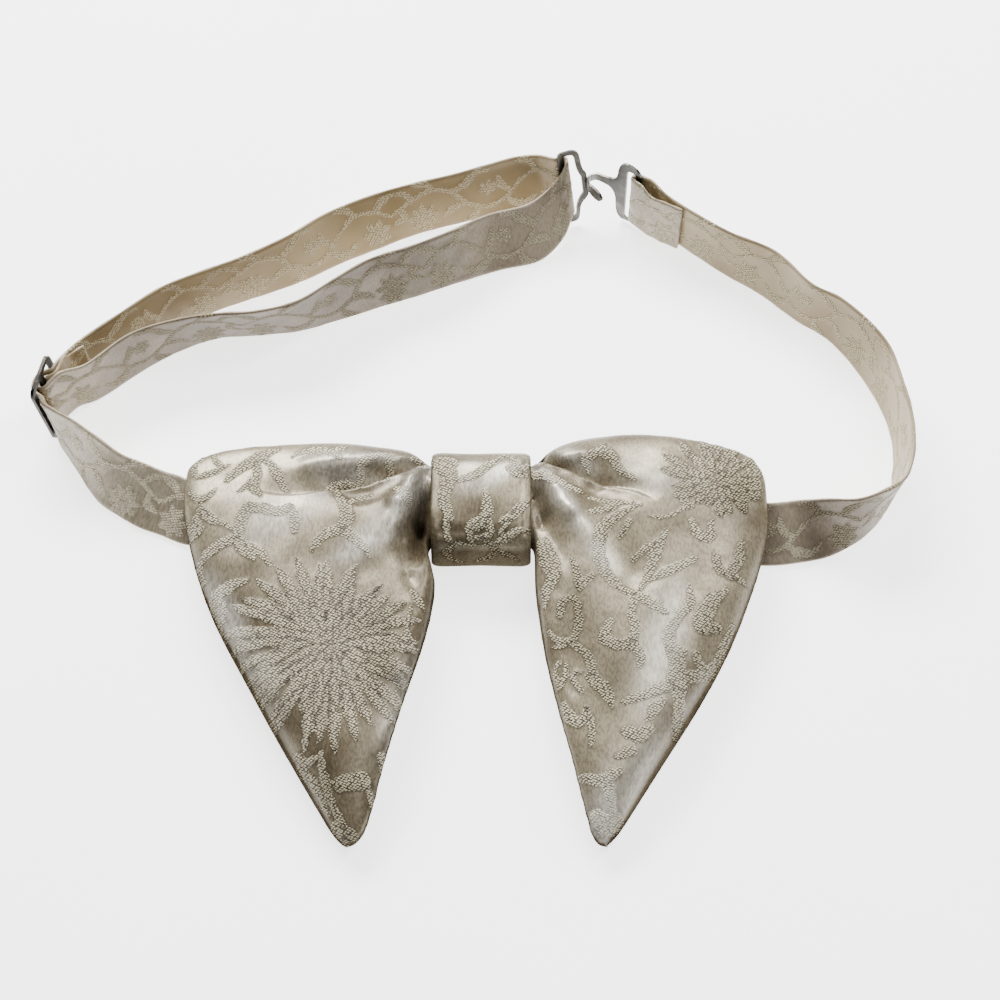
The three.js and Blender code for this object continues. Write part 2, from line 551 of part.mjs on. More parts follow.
// Metal fittings: stamped plates, drawn with x along the strap and y along the strap bar

function roundedPath(path, x, y, width, height, radius) {
  path.moveTo(x + radius, y);
  path.lineTo(x + width - radius, y);
  path.absarc(x + width - radius, y + radius, radius, -Math.PI / 2, 0, false);
  path.lineTo(x + width, y + height - radius);
  path.absarc(x + width - radius, y + height - radius, radius, 0, Math.PI / 2, false);
  path.lineTo(x + radius, y + height);
  path.absarc(x + radius, y + height - radius, radius, Math.PI / 2, Math.PI, false);
  path.lineTo(x, y + radius);
  path.absarc(x + radius, y + radius, radius, Math.PI, 1.5 * Math.PI, false);
  return path;
}

// The plate is stamped flat, then set in the fitting's plane.
function platePosed(shape, thickness, curveSegments, fitting) {
  const geometry = new THREE.ExtrudeGeometry(shape, { depth: thickness, bevelEnabled: false, curveSegments });
  geometry.translate(0, 0, -thickness / 2);
  return posed(geometry, fitting);
}

function posed(geometry, fitting) {
  const normal = new THREE.Vector3().crossVectors(fitting.along, fitting.axis);
  const basis = new THREE.Matrix4().makeBasis(fitting.along, fitting.axis, normal);
  basis.setPosition(fitting.centre);
  return geometry.applyMatrix4(basis);
}

function sliderGeometry() {
  const outline = roundedPath(
    new THREE.Shape(), -SLIDER_WIDTH / 2, -SLIDER_LENGTH / 2, SLIDER_WIDTH, SLIDER_LENGTH, 2.4,
  );
  const slotWidth = (SLIDER_WIDTH - 3 * SLIDER_BAR) / 2;
  const slotLength = SLIDER_LENGTH - 2 * 1.5;
  for (const side of [-1, 1]) {
    const middle = side * (SLIDER_BAR + slotWidth) / 2;
    const slot = new THREE.Path();
    outline.holes.push(roundedPath(slot, middle - slotWidth / 2, -slotLength / 2, slotWidth, slotLength, 0.6));
  }
  return platePosed(outline, SLIDER_THICKNESS, 4, SLIDER);
}

// Half outline of the eye from the strap bar over one shoulder to the nose, mirrored for the other half.
function eyeGeometry() {
  const top = EYE_LENGTH / 2;
  const bar = BAR_WIDTH / 2;
  const reach = EYE_REACH;
  const shape = new THREE.Shape();
  shape.moveTo(-bar, 0);
  shape.lineTo(-bar, top - 1.6);
  shape.quadraticCurveTo(-bar, top, 0.9, top);
  shape.lineTo(3.2, top + 0.1);
  shape.quadraticCurveTo(6.0, top, 6.0, top - 2.8);
  shape.lineTo(6.1, 7.6);
  shape.quadraticCurveTo(6.3, 5.4, reach + 0.2, 4.4);
  shape.quadraticCurveTo(reach + 0.85, 3.9, reach + 0.85, 3.0);
  shape.lineTo(reach + 0.85, -3.0);
  shape.quadraticCurveTo(reach + 0.85, -4.0, reach, -4.8);
  shape.quadraticCurveTo(4.5, -6.2, 4.2, -8.4);
  shape.lineTo(4.0, -(top - 2.6));
  shape.quadraticCurveTo(3.7, -top, 1.9, -top);
  shape.lineTo(0.9, -top);
  shape.quadraticCurveTo(-bar, -top, -bar, -(top - 1.6));
  shape.closePath();
  const hole = new THREE.Path();
  hole.moveTo(bar, 0);
  hole.lineTo(bar, -(top - 2.2));
  hole.quadraticCurveTo(bar + 0.1, -(top - 1.8), 1.9, -(top - 1.8));
  hole.quadraticCurveTo(2.9, -(top - 1.9), 3.0, -(top - 3.4));
  hole.lineTo(3.1, -7.6);
  hole.quadraticCurveTo(3.6, -5.0, reach - 0.85, -3.0);
  hole.lineTo(reach - 0.85, 2.6);
  hole.quadraticCurveTo(4.6, 4.2, 4.4, 7.2);
  hole.lineTo(4.3, top - 3.2);
  hole.quadraticCurveTo(4.2, top - 1.4, 2.9, top - 1.3);
  hole.lineTo(bar + 0.4, top - 1.3);
  hole.quadraticCurveTo(bar, top - 1.3, bar, top - 1.7);
  hole.closePath();
  shape.holes.push(hole);
  return platePosed(shape, METAL, 4, EYE);
}

// The hook leaves the plate as a neck that curls round the nose of the eye and ends in a splayed tip.
const NECK_OFFSET = 1.3;     // of the neck above the middle of the plate
const NECK_THICKNESS = 0.8;
const NECK_STRAIGHT = 6.0;   // length of the neck before it starts to drop
const CURL_RADIUS = 2.35;
const CURL_SPLAY = 2.85;     // turn of the curl, in radians
const CURL_DROP = 1.9;       // the tip hangs this much lower than the neck
const HOOK_TIP = [
  { run: 1.4, width: 3.4 },
  { run: 3.2, width: 3.7 },
  { run: 4.8, width: 2.9 },
  { run: 5.8, width: 1.0 },
];

function hookNeck() {
  const stations = [
    { along: 6.6, out: 0, turn: 0, width: 3.8 },
    { along: 9.2, out: 0, turn: 0, width: 3.6 },
    { along: 10.4, out: 0, turn: 0, width: 3.0 },
    { along: 11.8, out: 0, turn: 0, width: 2.6 },
  ];
  const curlSteps = 9;
  for (let i = 0; i <= curlSteps; i += 1) {
    const turn = CURL_SPLAY * i / curlSteps;
    stations.push({
      along: HOOK_REACH + CURL_RADIUS * Math.sin(turn),
      out: -CURL_RADIUS + CURL_RADIUS * Math.cos(turn),
      turn,
      width: 2.5,
    });
  }
  const tip = stations[stations.length - 1];
  for (const step of HOOK_TIP) {
    stations.push({
      along: tip.along + step.run * Math.cos(CURL_SPLAY),
      out: tip.out - step.run * Math.sin(CURL_SPLAY),
      turn: CURL_SPLAY,
      width: step.width,
    });
  }
  let travel = 0;
  for (let i = 0; i < stations.length; i += 1) {
    const from = stations[Math.max(0, i - 1)];
    travel += Math.hypot(stations[i].along - from.along, stations[i].out - from.out);
    stations[i].travel = Math.max(0, travel - NECK_STRAIGHT);
  }
  const last = stations[stations.length - 1];
  const rings = stations.map((station) => {
    const acrossAlong = Math.sin(station.turn) * NECK_THICKNESS / 2;
    const acrossOut = Math.cos(station.turn) * NECK_THICKNESS / 2;
    const middle = NECK_OFFSET - CURL_DROP * smooth(0, last.travel, station.travel);
    const low = middle - station.width / 2;
    const high = middle + station.width / 2;
    return [
      [station.along + acrossAlong, low, station.out + acrossOut],
      [station.along + acrossAlong, high, station.out + acrossOut],
      [station.along - acrossAlong, high, station.out - acrossOut],
      [station.along - acrossAlong, low, station.out - acrossOut],
    ].map(([along, up, out]) => HOOK.centre.clone()
      .addScaledVector(HOOK.along, along)
      .addScaledVector(HOOK.axis, up)
      .addScaledVector(HOOK.out, out));
  });
  return loftRings(rings);
}

function hookPlate() {
  const top = HOOK_LENGTH / 2;
  const bar = BAR_WIDTH / 2;
  const shape = new THREE.Shape();
  shape.moveTo(-bar, -(top - 2.0));
  shape.lineTo(-bar, top - 4.4);
  shape.quadraticCurveTo(-bar, top - 0.6, 2.6, top + 0.1);
  shape.quadraticCurveTo(5.4, top + 0.6, 6.5, top - 1.2);
  shape.quadraticCurveTo(7.1, top - 2.4, 7.2, 6.4);
  shape.quadraticCurveTo(7.5, NECK_OFFSET + 1.7, 10.0, NECK_OFFSET + 1.4);
  shape.lineTo(10.0, NECK_OFFSET - 1.4);
  shape.quadraticCurveTo(7.4, NECK_OFFSET - 2.6, 7.3, -5.6);
  shape.quadraticCurveTo(7.2, -(top - 0.8), 5.0, -top);
  shape.lineTo(1.0, -top);
  shape.quadraticCurveTo(-bar, -top, -bar, -(top - 2.0));
  const slot = new THREE.Path();
  roundedPath(slot, bar, -(top - 0.7), 4.1 - bar, 2 * top - 2.8, 1.2);
  shape.holes.push(slot);
  return platePosed(shape, METAL, 4, HOOK);
}

// Boolean joins

const manifold = await Module();
manifold.setup();

function solidOf(geometry) {
  const bare = geometry.clone();
  bare.deleteAttribute('normal');
  bare.deleteAttribute('uv');
  const merged = mergeVertices(bare, 1e-4);
  const mesh = new manifold.Mesh({
    numProp: 3,
    vertProperties: new Float32Array(merged.attributes.position.array),
    triVerts: new Uint32Array(merged.index.array),
  });
  return new manifold.Manifold(mesh);
}

function joined(first, second) {
  const result = solidOf(first).add(solidOf(second)).getMesh();
  return meshFrom(Array.from(result.vertProperties), Array.from(result.triVerts));
}

// Finishes

function finish(color, roughness, metalness) {
  return new THREE.MeshStandardMaterial({ color, roughness, metalness });
}

const bowBrocade = finish(0xb9b09c, 0.45, 0);
const strapBrocade = finish(0xd3c8ba, 0.5, 0);
const nickel = finish(0x8f8f8d, 0.3, 1);
const gunmetal = finish(0x2a2928, 0.35, 1);

// The assembly

function named(name, geometry, material) {
  geometry.computeVertexNormals();
  const mesh = new THREE.Mesh(geometry, material);
  mesh.name = name;
  return mesh;
}

const tie = new THREE.Group();
tie.add(named('left_wing', wingGeometry(LEFT_WING, LEFT_TIP, LEFT_FOLDS, STRAP_UNDER_LEFT, false), bowBrocade));
tie.add(named('right_wing', wingGeometry(RIGHT_WING, RIGHT_TIP, RIGHT_FOLDS, STRAP_UNDER_RIGHT, true), bowBrocade));
tie.add(named('knot_band', knotGeometry(), bowBrocade));
tie.add(named('left_strap', strapGeometry(leftStrapRows, 2), strapBrocade));
tie.add(named('right_strap', strapGeometry(rightStrapRows, 3), strapBrocade));
tie.add(named('slider', sliderGeometry(), gunmetal));
tie.add(named('eye_ring', eyeGeometry(), nickel));
tie.add(named('hook_plate', joined(hookPlate(), hookNeck()), nickel));

export default tie;
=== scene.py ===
# %% [markdown]
# # A brocade bow tie
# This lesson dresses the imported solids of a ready-made bow tie: two padded pointed wings, a wrapped knot,
# a ribbon strap on each side, and three small metal fittings. The solids stay as the frame. The soft
# pieces get fine meshes of their own, and the metal keeps its shape and gets a better surface.

# %% Load the frame
import math
from functools import partial

import bmesh
import bpy
import numpy as np
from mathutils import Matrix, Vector


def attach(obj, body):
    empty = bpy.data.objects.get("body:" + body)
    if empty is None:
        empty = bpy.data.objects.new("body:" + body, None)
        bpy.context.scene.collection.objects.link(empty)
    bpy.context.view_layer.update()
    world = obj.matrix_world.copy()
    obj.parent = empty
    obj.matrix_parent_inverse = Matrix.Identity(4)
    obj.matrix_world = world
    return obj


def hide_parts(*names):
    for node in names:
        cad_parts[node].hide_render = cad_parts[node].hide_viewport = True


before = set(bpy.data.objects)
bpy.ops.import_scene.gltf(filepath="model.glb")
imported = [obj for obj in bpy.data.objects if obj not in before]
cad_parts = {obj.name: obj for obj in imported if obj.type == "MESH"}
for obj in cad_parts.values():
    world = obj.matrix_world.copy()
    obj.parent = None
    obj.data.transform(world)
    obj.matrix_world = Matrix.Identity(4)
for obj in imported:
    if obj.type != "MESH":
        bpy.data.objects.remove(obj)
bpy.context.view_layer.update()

MM = 0.001
print("nodes:", sorted(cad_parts))

# %% [markdown]
# ## The camera
# The tie was photographed from in front and above, with a long lens. The camera stands 0.8 m away, looks
# down at 60 degrees, and its lens is the one at which the straps and the bow keep their sizes.

# %% Camera
CAMERA_PLACE = (0.005715, -0.392164, 0.692820)
CAMERA_ELEVATION = 60.0
camera_data = bpy.data.cameras.new("long_lens")
camera_data.lens = 99.31
camera_data.sensor_width = 36.0
camera_data.clip_start = 0.05
camera = bpy.data.objects.new("camera", camera_data)
camera.location = CAMERA_PLACE
camera.rotation_euler = (math.radians(90.0 - CAMERA_ELEVATION), 0.0, 0.0)
bpy.context.scene.collection.objects.link(camera)
bpy.context.scene.camera = camera
print("camera at", CAMERA_PLACE)

# %% [markdown]
# ## Small helpers for materials
# Every finish is a small tree of nodes. One function turns a colour from its hex code to the linear numbers
# that Blender works in. Another adds a node with its settings and links, and gives back one of its outputs.
# A Mix node has sockets for numbers, vectors and colours, so its colour sockets are named here once.

# %% Material helpers
FACTOR, FIRST, SECOND = 0, 6, 7     # inputs of a Mix node for colours
MIXED = 2                           # and its output
SMOOTH = {"interpolation_type": "SMOOTHSTEP"}


def linear(hex_code):
    channels = [int(hex_code[i:i + 2], 16) / 255.0 for i in (0, 2, 4)]
    return tuple(c / 12.92 if c <= 0.04045 else ((c + 0.055) / 1.055) ** 2.4 for c in channels) + (1.0,)


def connect(tree, node, inputs):
    """Each input takes a value, or the output of another node."""
    for key, value in inputs.items():
        if isinstance(value, bpy.types.NodeSocket):
            tree.links.new(value, node.inputs[key])
        else:
            node.inputs[key].default_value = value


def add_node(tree, kind, inputs=None, output=0, **settings):
    node = tree.nodes.new("ShaderNode" + kind)
    for name, value in settings.items():
        setattr(node, name, value)
    connect(tree, node, inputs or {})
    return node.outputs[output]


def new_material(name):
    material = bpy.data.materials.new(name)
    material.use_nodes = True
    tree = material.node_tree
    return material, tree, partial(add_node, tree)


print("white is", linear("ffffff"))

# %% [markdown]
# ## Brocade
# Brocade is woven on a jacquard loom. Its ground is satin: long smooth floats that shine in broad soft
# bands. Its flowers are extra weft threads that pass over the ground in short raised stitches, in slanting
# rows less than a millimetre apart, so they look beaded and stay matt.
#
# The vertices carry two numbers in millimetres: `flower`, how deep a point lies inside a flower, and `rim`,
# how far it is from the line where two strokes meet. The material notches the edge of a flower by a noise and
# then by the stitches themselves, so it ends as ragged as on the cloth. Two more numbers say where shade and
# highlights are painted into the satin's colour. On a padded piece the satin's noises are read in all three
# directions, so that nothing streaks down its sides.

# %% Patterns of the brocade
STITCH_PITCH = 0.92         # mm between two stitches of the flowers
STITCH_SLANT = 33           # degrees, the slant of their rows
STITCH_SQUEEZE = 1.35       # how much closer the rows are than the stitches in a row
STITCH_WANDER = 0.42        # how unevenly they lie
FLOAT_PITCH = 0.35          # mm between two satin floats, drawn a little coarse so that they show
GRAIN = 0.55                # mm, the slanting grain of the satin weave
LEAF_NOTCH = 2.6            # mm, size of the notches in the edges of the flowers
NOTCH_MIDDLE = 0.45         # the noise's own middle
STITCH_TOP = (0.62, 0.12)   # of the way to the next stitch: where a stitch ends, and where its top begins
BEAD_EDGE = 0.30            # mm that a stitch stands out at the edge of a flower
FLOWER_EDGE = (-0.10, 0.16)     # mm inside a flower, between which the satin gives way to it
SIDE_SHARE = 0.6            # share of the height added to y, so that the stitches go on down the sides
# Noises of the cloth: size in mm, slant in degrees, stretch along the slant, detail.
CLOTH_NOISES = {
    "patchy": (1000 / 90, 0, 1.0, 3.0),             # threads that are more and less worn
    "cloudy": (1000 / 34, 0, 1.0, 2.0),             # the satin's broad soft bands
    "floats": (FLOAT_PITCH * 2, -12, 0.30, 2.0),
    "grain": (GRAIN, 36, 0.45, 2.0),
}


def weave_patterns(node, coordinate, notch):
    """All that the colour, the relief and the gloss are made from, by name."""
    if coordinate == "UV":
        solid_place = place = node("UVMap", uv_map="along")
    else:
        solid_place = node("TexCoord", output="Object")
        spot = node("SeparateXYZ", {"Vector": solid_place}).node.outputs
        down = node("Math", {0: spot["Z"], 1: SIDE_SHARE, 2: spot["Y"]}, operation="MULTIPLY_ADD")
        place = node("CombineXYZ", {"X": spot["X"], "Y": down})
    part = {name: node("Attribute", output="Fac", attribute_name=name)
            for name in ("flower", "rim", "fold", "painted_highlight")}
    for name, (size, slant, stretch, detail) in CLOTH_NOISES.items():
        turned = node("Mapping", {"Vector": solid_place, "Rotation": (0, 0, math.radians(slant)),
                                  "Scale": (1.0, stretch, 1.0)})
        part[name] = node("TexNoise", {"Vector": turned, "Scale": 1 / (size * MM), "Detail": detail},
                          noise_dimensions="3D")
    leafy = node("TexNoise", {"Vector": place, "Scale": 1 / (LEAF_NOTCH * MM), "Detail": 1.0},
                 noise_dimensions="2D")
    leafy = node("Math", {0: leafy, 1: NOTCH_MIDDLE}, operation="SUBTRACT")
    part["flower"] = node("Math", {0: leafy, 1: notch, 2: part["flower"]}, operation="MULTIPLY_ADD")
    rows = node("Mapping", {"Vector": place, "Rotation": (0, 0, math.radians(STITCH_SLANT)),
                            "Scale": (1.0, STITCH_SQUEEZE, 1.0)})
    away = node("TexVoronoi", {"Vector": rows, "Scale": 1 / (STITCH_PITCH * MM), "Randomness": STITCH_WANDER},
                voronoi_dimensions="2D")
    part["bead"] = node("MapRange", {"Value": away, "From Min": STITCH_TOP[0], "From Max": STITCH_TOP[1]},
                        **SMOOTH)
    ragged = node("Math", {0: part["bead"], 1: 0.5}, operation="SUBTRACT")
    ragged = node("Math", {0: ragged, 1: BEAD_EDGE, 2: part["flower"]}, operation="MULTIPLY_ADD")
    part["inside"] = node("MapRange", {"Value": ragged, "From Min": FLOWER_EDGE[0],
                                       "From Max": FLOWER_EDGE[1]}, **SMOOTH)
    return part


print("noises:", sorted(CLOTH_NOISES))

# %% [markdown]
# The colour is laid on in layers, as a painter would, and each layer is a row of a table: which pattern it
# follows, where it begins, where it is full, how strong it is then, and its colour. Satin and flowers have
# a table each, and the depth in the flowers decides between them. Painted highlights and painted shade are
# laid over both.

# %% Colours of the brocade
SATIN_LAYERS = (
    ("cloudy", 0.39, 0.61, 1.0, "ground_lit"),
    ("floats", 0.30, 0.75, 0.30, "ground_lit"),
    ("grain", 0.42, 0.62, 0.42, "gap"),
    ("flower", -0.75, -0.10, 0.46, "gap"),          # painted shadow in a ring round each flower, cast by its raised stitches
)
FLOWER_LAYERS = (
    ("patchy", 0.30, 0.70, 0.30, "ground"),
    ("bead", 0.76, 0.14, 1.0, "gap"),               # between two stitches
    ("rim", 0.66, 0.02, 1.0, "crossing"),           # between two strokes
)
REVERSE_LAYERS = (("cloudy", 0.30, 0.70, 1.0, "ground_lit"),)
# Painted highlight: where the floats break it up, how much of it they take up, and its strength. Painted
# shade: its strength and its colour.
SHEEN_FLOATS = (0.36, 0.62)     # of the floats' noise, between which they catch the light
SHEEN_RANGE = (0.58, 1.08)      # how much they then take up of it
PAINTED_HIGHLIGHT_STRENGTH = 0.80
PAINTED_SHADE_STRENGTH = 0.90
PAINTED_SHADE_COLOUR = linear("20180f")


def lay_colours(node, part, colours, start, layers):
    colour = colours[start]
    for pattern, begins, full, strength, name in layers:
        share = node("MapRange", {"Value": part[pattern], "From Min": begins, "From Max": full,
                                  "To Max": strength}, **SMOOTH)
        colour = node("Mix", {FACTOR: share, FIRST: colour, SECOND: colours[name]}, MIXED, data_type="RGBA")
    return colour


def cloth_colours(cloth):
    colours = {name: linear(code) for name, code in cloth.items() if isinstance(code, str)}
    if "groove" in colours:
        colours["crossing"] = tuple((a + b) / 2 for a, b in zip(colours["groove"], colours["gap"]))
    return colours


def brocade_colour(node, part, cloth, reverse):
    colours = cloth_colours(cloth)
    satin = lay_colours(node, part, colours, "ground", SATIN_LAYERS)
    flowers = lay_colours(node, part, colours, "stitch", FLOWER_LAYERS)
    colour = node("Mix", {FACTOR: part["inside"], FIRST: satin, SECOND: flowers}, MIXED, data_type="RGBA")
    if reverse:
        colours = cloth_colours(reverse)
        satin = lay_colours(node, part, colours, "ground", REVERSE_LAYERS)
        flowers = node("Mix", {FACTOR: part["bead"], FIRST: colours["gap"], SECOND: colours["stitch"]},
                       MIXED, data_type="RGBA")
        back = node("Mix", {FACTOR: part["inside"], FIRST: satin, SECOND: flowers}, MIXED, data_type="RGBA")
        side = node("Attribute", output="Fac", attribute_name="reverse")
        colour = node("Mix", {FACTOR: side, FIRST: colour, SECOND: back}, MIXED, data_type="RGBA")
    # A painted highlight and then painted shade are mixed over the cloth's own colour.
    taken_up = node("MapRange", {"Value": part["inside"], "To Min": cloth["lit_ground"],
                                 "To Max": cloth["lit_stitch"]})
    brushed = node("MapRange", {"Value": part["floats"], "From Min": SHEEN_FLOATS[0],
                                "From Max": SHEEN_FLOATS[1], "To Min": SHEEN_RANGE[0],
                                "To Max": SHEEN_RANGE[1]}, **SMOOTH)
    bright = node("Math", {0: part["painted_highlight"], 1: taken_up}, operation="MULTIPLY")
    bright = node("Math", {0: bright, 1: brushed}, operation="MULTIPLY", use_clamp=True)
    for share, strength, shade in ((bright, PAINTED_HIGHLIGHT_STRENGTH, linear(cloth["lit"])),
                                   (part["fold"], PAINTED_SHADE_STRENGTH, PAINTED_SHADE_COLOUR)):
        share = node("Math", {0: share, 1: strength}, operation="MULTIPLY")
        colour = node("Mix", {FACTOR: share, FIRST: colour, SECOND: shade}, MIXED, data_type="RGBA")
    return colour


print("layers:", len(SATIN_LAYERS), len(FLOWER_LAYERS))

# %% [markdown]
# Satin is glossy and thread isn't, so the flowers are rougher than the ground. Real satin shines along its
# floats. A little metallic reflection imitates that, and both kinds of gloss fade where shade is painted into
# the colour, in the folds and wherever else no light gets in. The reverse of the ribbon is plainer and
# warmer, as brocade is on its back.

# %% Brocade material
STITCH_RELIEF = 0.00034     # metres that the bump stands for
STITCH_ROUND = 0.75         # share of a stitch's height that is round, above the flat rest
FLOAT_RELIEF = 0.06         # height of the satin floats beside that of the stitches
SATIN_ROUGHNESS = 0.35
FLOWER_ROUGHER = 0.24
FLOAT_ROUGHER = 0.08
SPECULAR = 0.60
GLOSS_FADES_IN_SHADE = 1.5           # how fast the gloss fades under the painted shade


def brocade(name, coordinate, cloth, reverse=None):
    material, tree, node = new_material(name)
    part = weave_patterns(node, coordinate, cloth["notch"])
    raised = node("Math", {0: part["bead"], 1: STITCH_ROUND, 2: 1 - STITCH_ROUND}, operation="MULTIPLY_ADD")
    raised = node("Math", {0: raised, 1: part["inside"]}, operation="MULTIPLY")
    raised = node("Math", {0: part["floats"], 1: FLOAT_RELIEF, 2: raised}, operation="MULTIPLY_ADD")
    rough = node("Math", {0: part["floats"], 1: FLOAT_ROUGHER, 2: SATIN_ROUGHNESS}, operation="MULTIPLY_ADD")
    rough = node("Math", {0: part["inside"], 1: FLOWER_ROUGHER, 2: rough}, operation="MULTIPLY_ADD")
    # The gloss fades where shade is painted in.
    gloss_outside_shade = node("Math", {0: part["fold"], 1: -GLOSS_FADES_IN_SHADE, 2: 1.0}, operation="MULTIPLY_ADD",
                      use_clamp=True)
    shine = cloth["satin_shine"]
    shine = node("Math", {0: part["inside"], 1: -shine, 2: shine}, operation="MULTIPLY_ADD")
    connect(tree, tree.nodes["Principled BSDF"], {
        "Base Color": brocade_colour(node, part, cloth, reverse),
        "Roughness": rough,
        "Metallic": node("Math", {0: shine, 1: gloss_outside_shade}, operation="MULTIPLY"),
        "Specular IOR Level": node("Math", {0: gloss_outside_shade, 1: SPECULAR}, operation="MULTIPLY"),
        "Normal": node("Bump", {"Height": raised, "Distance": STITCH_RELIEF, "Strength": 0.9}),
    })
    return material


# Colours of the threads. lit: the painted highlight, the satin's colour in full light. lit_ground,
# lit_stitch: how much the ground and the stitches take up that painted highlight. notch: mm that the edges of
# the flowers go in
# and out. satin_shine: its reflection.
BOW_CLOTH = {"ground": "584d38", "ground_lit": "978c74", "stitch": "d6ccaa", "gap": "463c2b",
             "groove": "342b1e", "lit": "f6f1e4", "lit_ground": 1.0, "lit_stitch": 0.68, "notch": 1.5,
             "satin_shine": 0.42}
STRAP_CLOTH = {"ground": "685c4d", "ground_lit": "8d8070", "stitch": "8e8265", "gap": "5d533f",
               "groove": "5d5444", "lit": "f0e3c4", "lit_ground": 0.50, "lit_stitch": 1.0, "notch": 1.0,
               "satin_shine": 0.16}
STRAP_REVERSE = {"ground": "84714f", "ground_lit": "a08f6f", "stitch": "cbbf9c", "gap": "8b7957"}
bow_brocade = brocade("jacquard_brocade_silver_ground", "Object", BOW_CLOTH)
strap_brocade = brocade("jacquard_brocade_ribbon", "UV", STRAP_CLOTH, STRAP_REVERSE)
print("brocades:", bow_brocade.name, strap_brocade.name)

# %% [markdown]
# ## The flowers
# The loom repeats traditional damask flowers: a chrysanthemum, scrolls, buds and leaves. Each is drawn as a
# few brush strokes on the cloth, a row of (x, y, half width) places in millimetres. A point's depth in a
# flower is how far it lies inside the nearest stroke. They could be painted as a picture, but strokes stay
# sharp at any size, and can raise the mesh as well as colour it.

# %% Strokes of the bow's flowers
LEFT_WING_MOTIFS = [
    [(-79.7, 14.5, 0.6), (-81.5, 10.9, 0.7), (-81.7, 8, 0.6)],
    [(-81.4, 6.5, 0.3), (-77, 8.2, 1), (-71.6, 10.7, 0.3)],
    [(-76.7, 15.1, 0.4), (-75.3, 11.8, 0.8), (-73.1, 9.7, 0.4)],
    [(-58.3, 16.1, 0.7), (-63.1, 13.1, 1.9), (-67.9, 9.7, 1.7), (-71.9, 5.2, 0.9)],
    [(-64.1, 12.2, 1.3), (-63.5, 6.9, 1.2), (-64.5, 2.6, 1.7), (-62.1, -0.9, 0.6)],
    [(-60.4, 11.4, 1), (-57.9, 7.4, 1.5), (-55.1, 1.8, 0.7)],
    [(-67.9, 0.8, 0.5), (-65.1, 3.2, 0.9), (-63.7, 2.3, 0.6)],
    [(-53.6, 13.1, 0.5), (-49.7, 15.2, 1.3), (-45.7, 15.7, 1.5), (-42.5, 14.4, 0.6)],
    [(-43.6, 12.9, 0.5), (-40.7, 15.8, 1.3), (-38.8, 17.3, 0.4)],
    [(-42.8, 13.9, 0.5), (-40.1, 11.8, 0.9), (-39.7, 11.3, 0.3)],
    [(-34.4, 5.8, 0.9), (-33.5, 10.6, 1.1), (-30.4, 12.9, 1.1), (-27, 13.5, 1.1), (-25.4, 9.2, 1),
     (-26.2, 5.4, 0.6)],
    [(-43.3, 2.6, 1), (-38.6, 4.7, 1.2), (-34.5, 4.4, 0.9), (-28.5, 4.2, 0.5)],
    [(-19.6, 14.5, 0.5), (-16.8, 14.7, 0.8), (-13.2, 15.3, 0.5)],
    [(-82.5, 2.1, 0.5), (-79.4, -0.8, 1.2), (-76.5, 0.3, 0.9), (-74.8, 2.3, 0.5)],
    [(-79.2, -3.7, 1), (-76.1, -7.2, 1.5), (-73, -9.7, 0.4)],
    [(-83.3, -6.6, 0.5), (-81.6, -9.5, 1.1), (-79.5, -11.2, 1), (-82.3, -12.8, 0.5)],
    [(-79.1, -4.6, 0.8), (-80.5, -6.8, 0.9), (-78.4, -10.1, 0.6)],
    [(-77.6, -19.2, 1), (-75.6, -17.6, 1.5), (-71.8, -15.7, 1.5), (-68.4, -14.2, 1.6),
     (-67.1, -9.3, 1.7), (-65.3, -5.1, 1.7), (-60.8, -5.5, 1.6), (-56.4, -6.1, 1.6), (-53.2, -4.7, 1.1)],
    [(-53.4, -4.8, 1), (-52, -9.4, 1.3), (-52.1, -13.1, 0.5)],
    [(-68.3, -14.4, 1.5), (-66.3, -17.5, 1.8), (-63, -21.5, 0.7)],
    [(-66.5, -16.9, 1.1), (-61.8, -18.8, 1.2), (-58.5, -23.3, 0.5)],
    [(-77.7, -19.5, 1), (-79.2, -22.1, 1.2), (-77.6, -26.4, 0.9)],
    [(-64.3, -27.9, 0.5), (-68.2, -28.9, 1.4), (-71.8, -30.5, 2), (-73.4, -32.2, 2.2),
     (-72.1, -35.8, 1.9), (-71.6, -41.3, 0.6)],
    [(-40.8, 1, 0.5), (-38.3, -3.9, 1.6), (-37.2, -8.5, 1.9), (-38.6, -13, 1.4)],
    [(-38.6, -12.3, 1.4), (-42.5, -13.6, 1.4), (-45.7, -16.5, 1), (-46.9, -19.4, 0.3)],
    [(-37.8, -12.3, 1.3), (-34.7, -15.7, 1.3), (-31.7, -19.1, 0.9), (-30.1, -21.8, 0.3)],
    [(-38.1, -4.1, 0.8), (-34.5, -1.3, 0.9), (-30.7, -0, 0.4)],
    [(-23.3, 1, 0.9), (-21.5, -0.9, 1.9), (-20.6, -3.9, 0.7)],
    [(-42.7, -79.4, 0.7), (-41.9, -84.6, 1), (-39.6, -91.7, 0.9), (-36.8, -97.1, 0.8),
     (-35.2, -101.6, 1.3)],
    [(-48.8, -81.2, 0.7), (-45.7, -84.6, 1), (-42.6, -89.7, 0.8), (-40.4, -94.6, 0.5)],
    [(-36.8, -87.3, 2.2), (-31.3, -86.4, 2.3)],
    [(-26.3, -79.3, 0.9), (-26.1, -83.1, 0.7)],
    [(-18.9, -30.4, 0.5), (-17.1, -33.1, 1.2), (-15.4, -35.7, 0.4)],
    [(-22.8, -61, 0.4), (-21.7, -64.2, 0.7), (-21.3, -67.4, 0.4)],
    [(-49.6, -78.2, 0.6), (-46.5, -81.2, 1.1), (-43.7, -80, 0.6)],
    [(-72.9, -8.7, 0.5), (-69.7, -11.5, 0.4)],
    [(-18.8, -36.2, 0.4), (-20.3, -41.9, 0.7), (-18.4, -46, 0.4)],
    [(-29.4, -88.7, 0.5), (-28.5, -92.9, 0.8), (-29.5, -98.3, 0.5)],
    [(-38.9, -97.5, 1.1), (-35.2, -99.9, 1.7), (-32.4, -101.3, 0.9)],
]
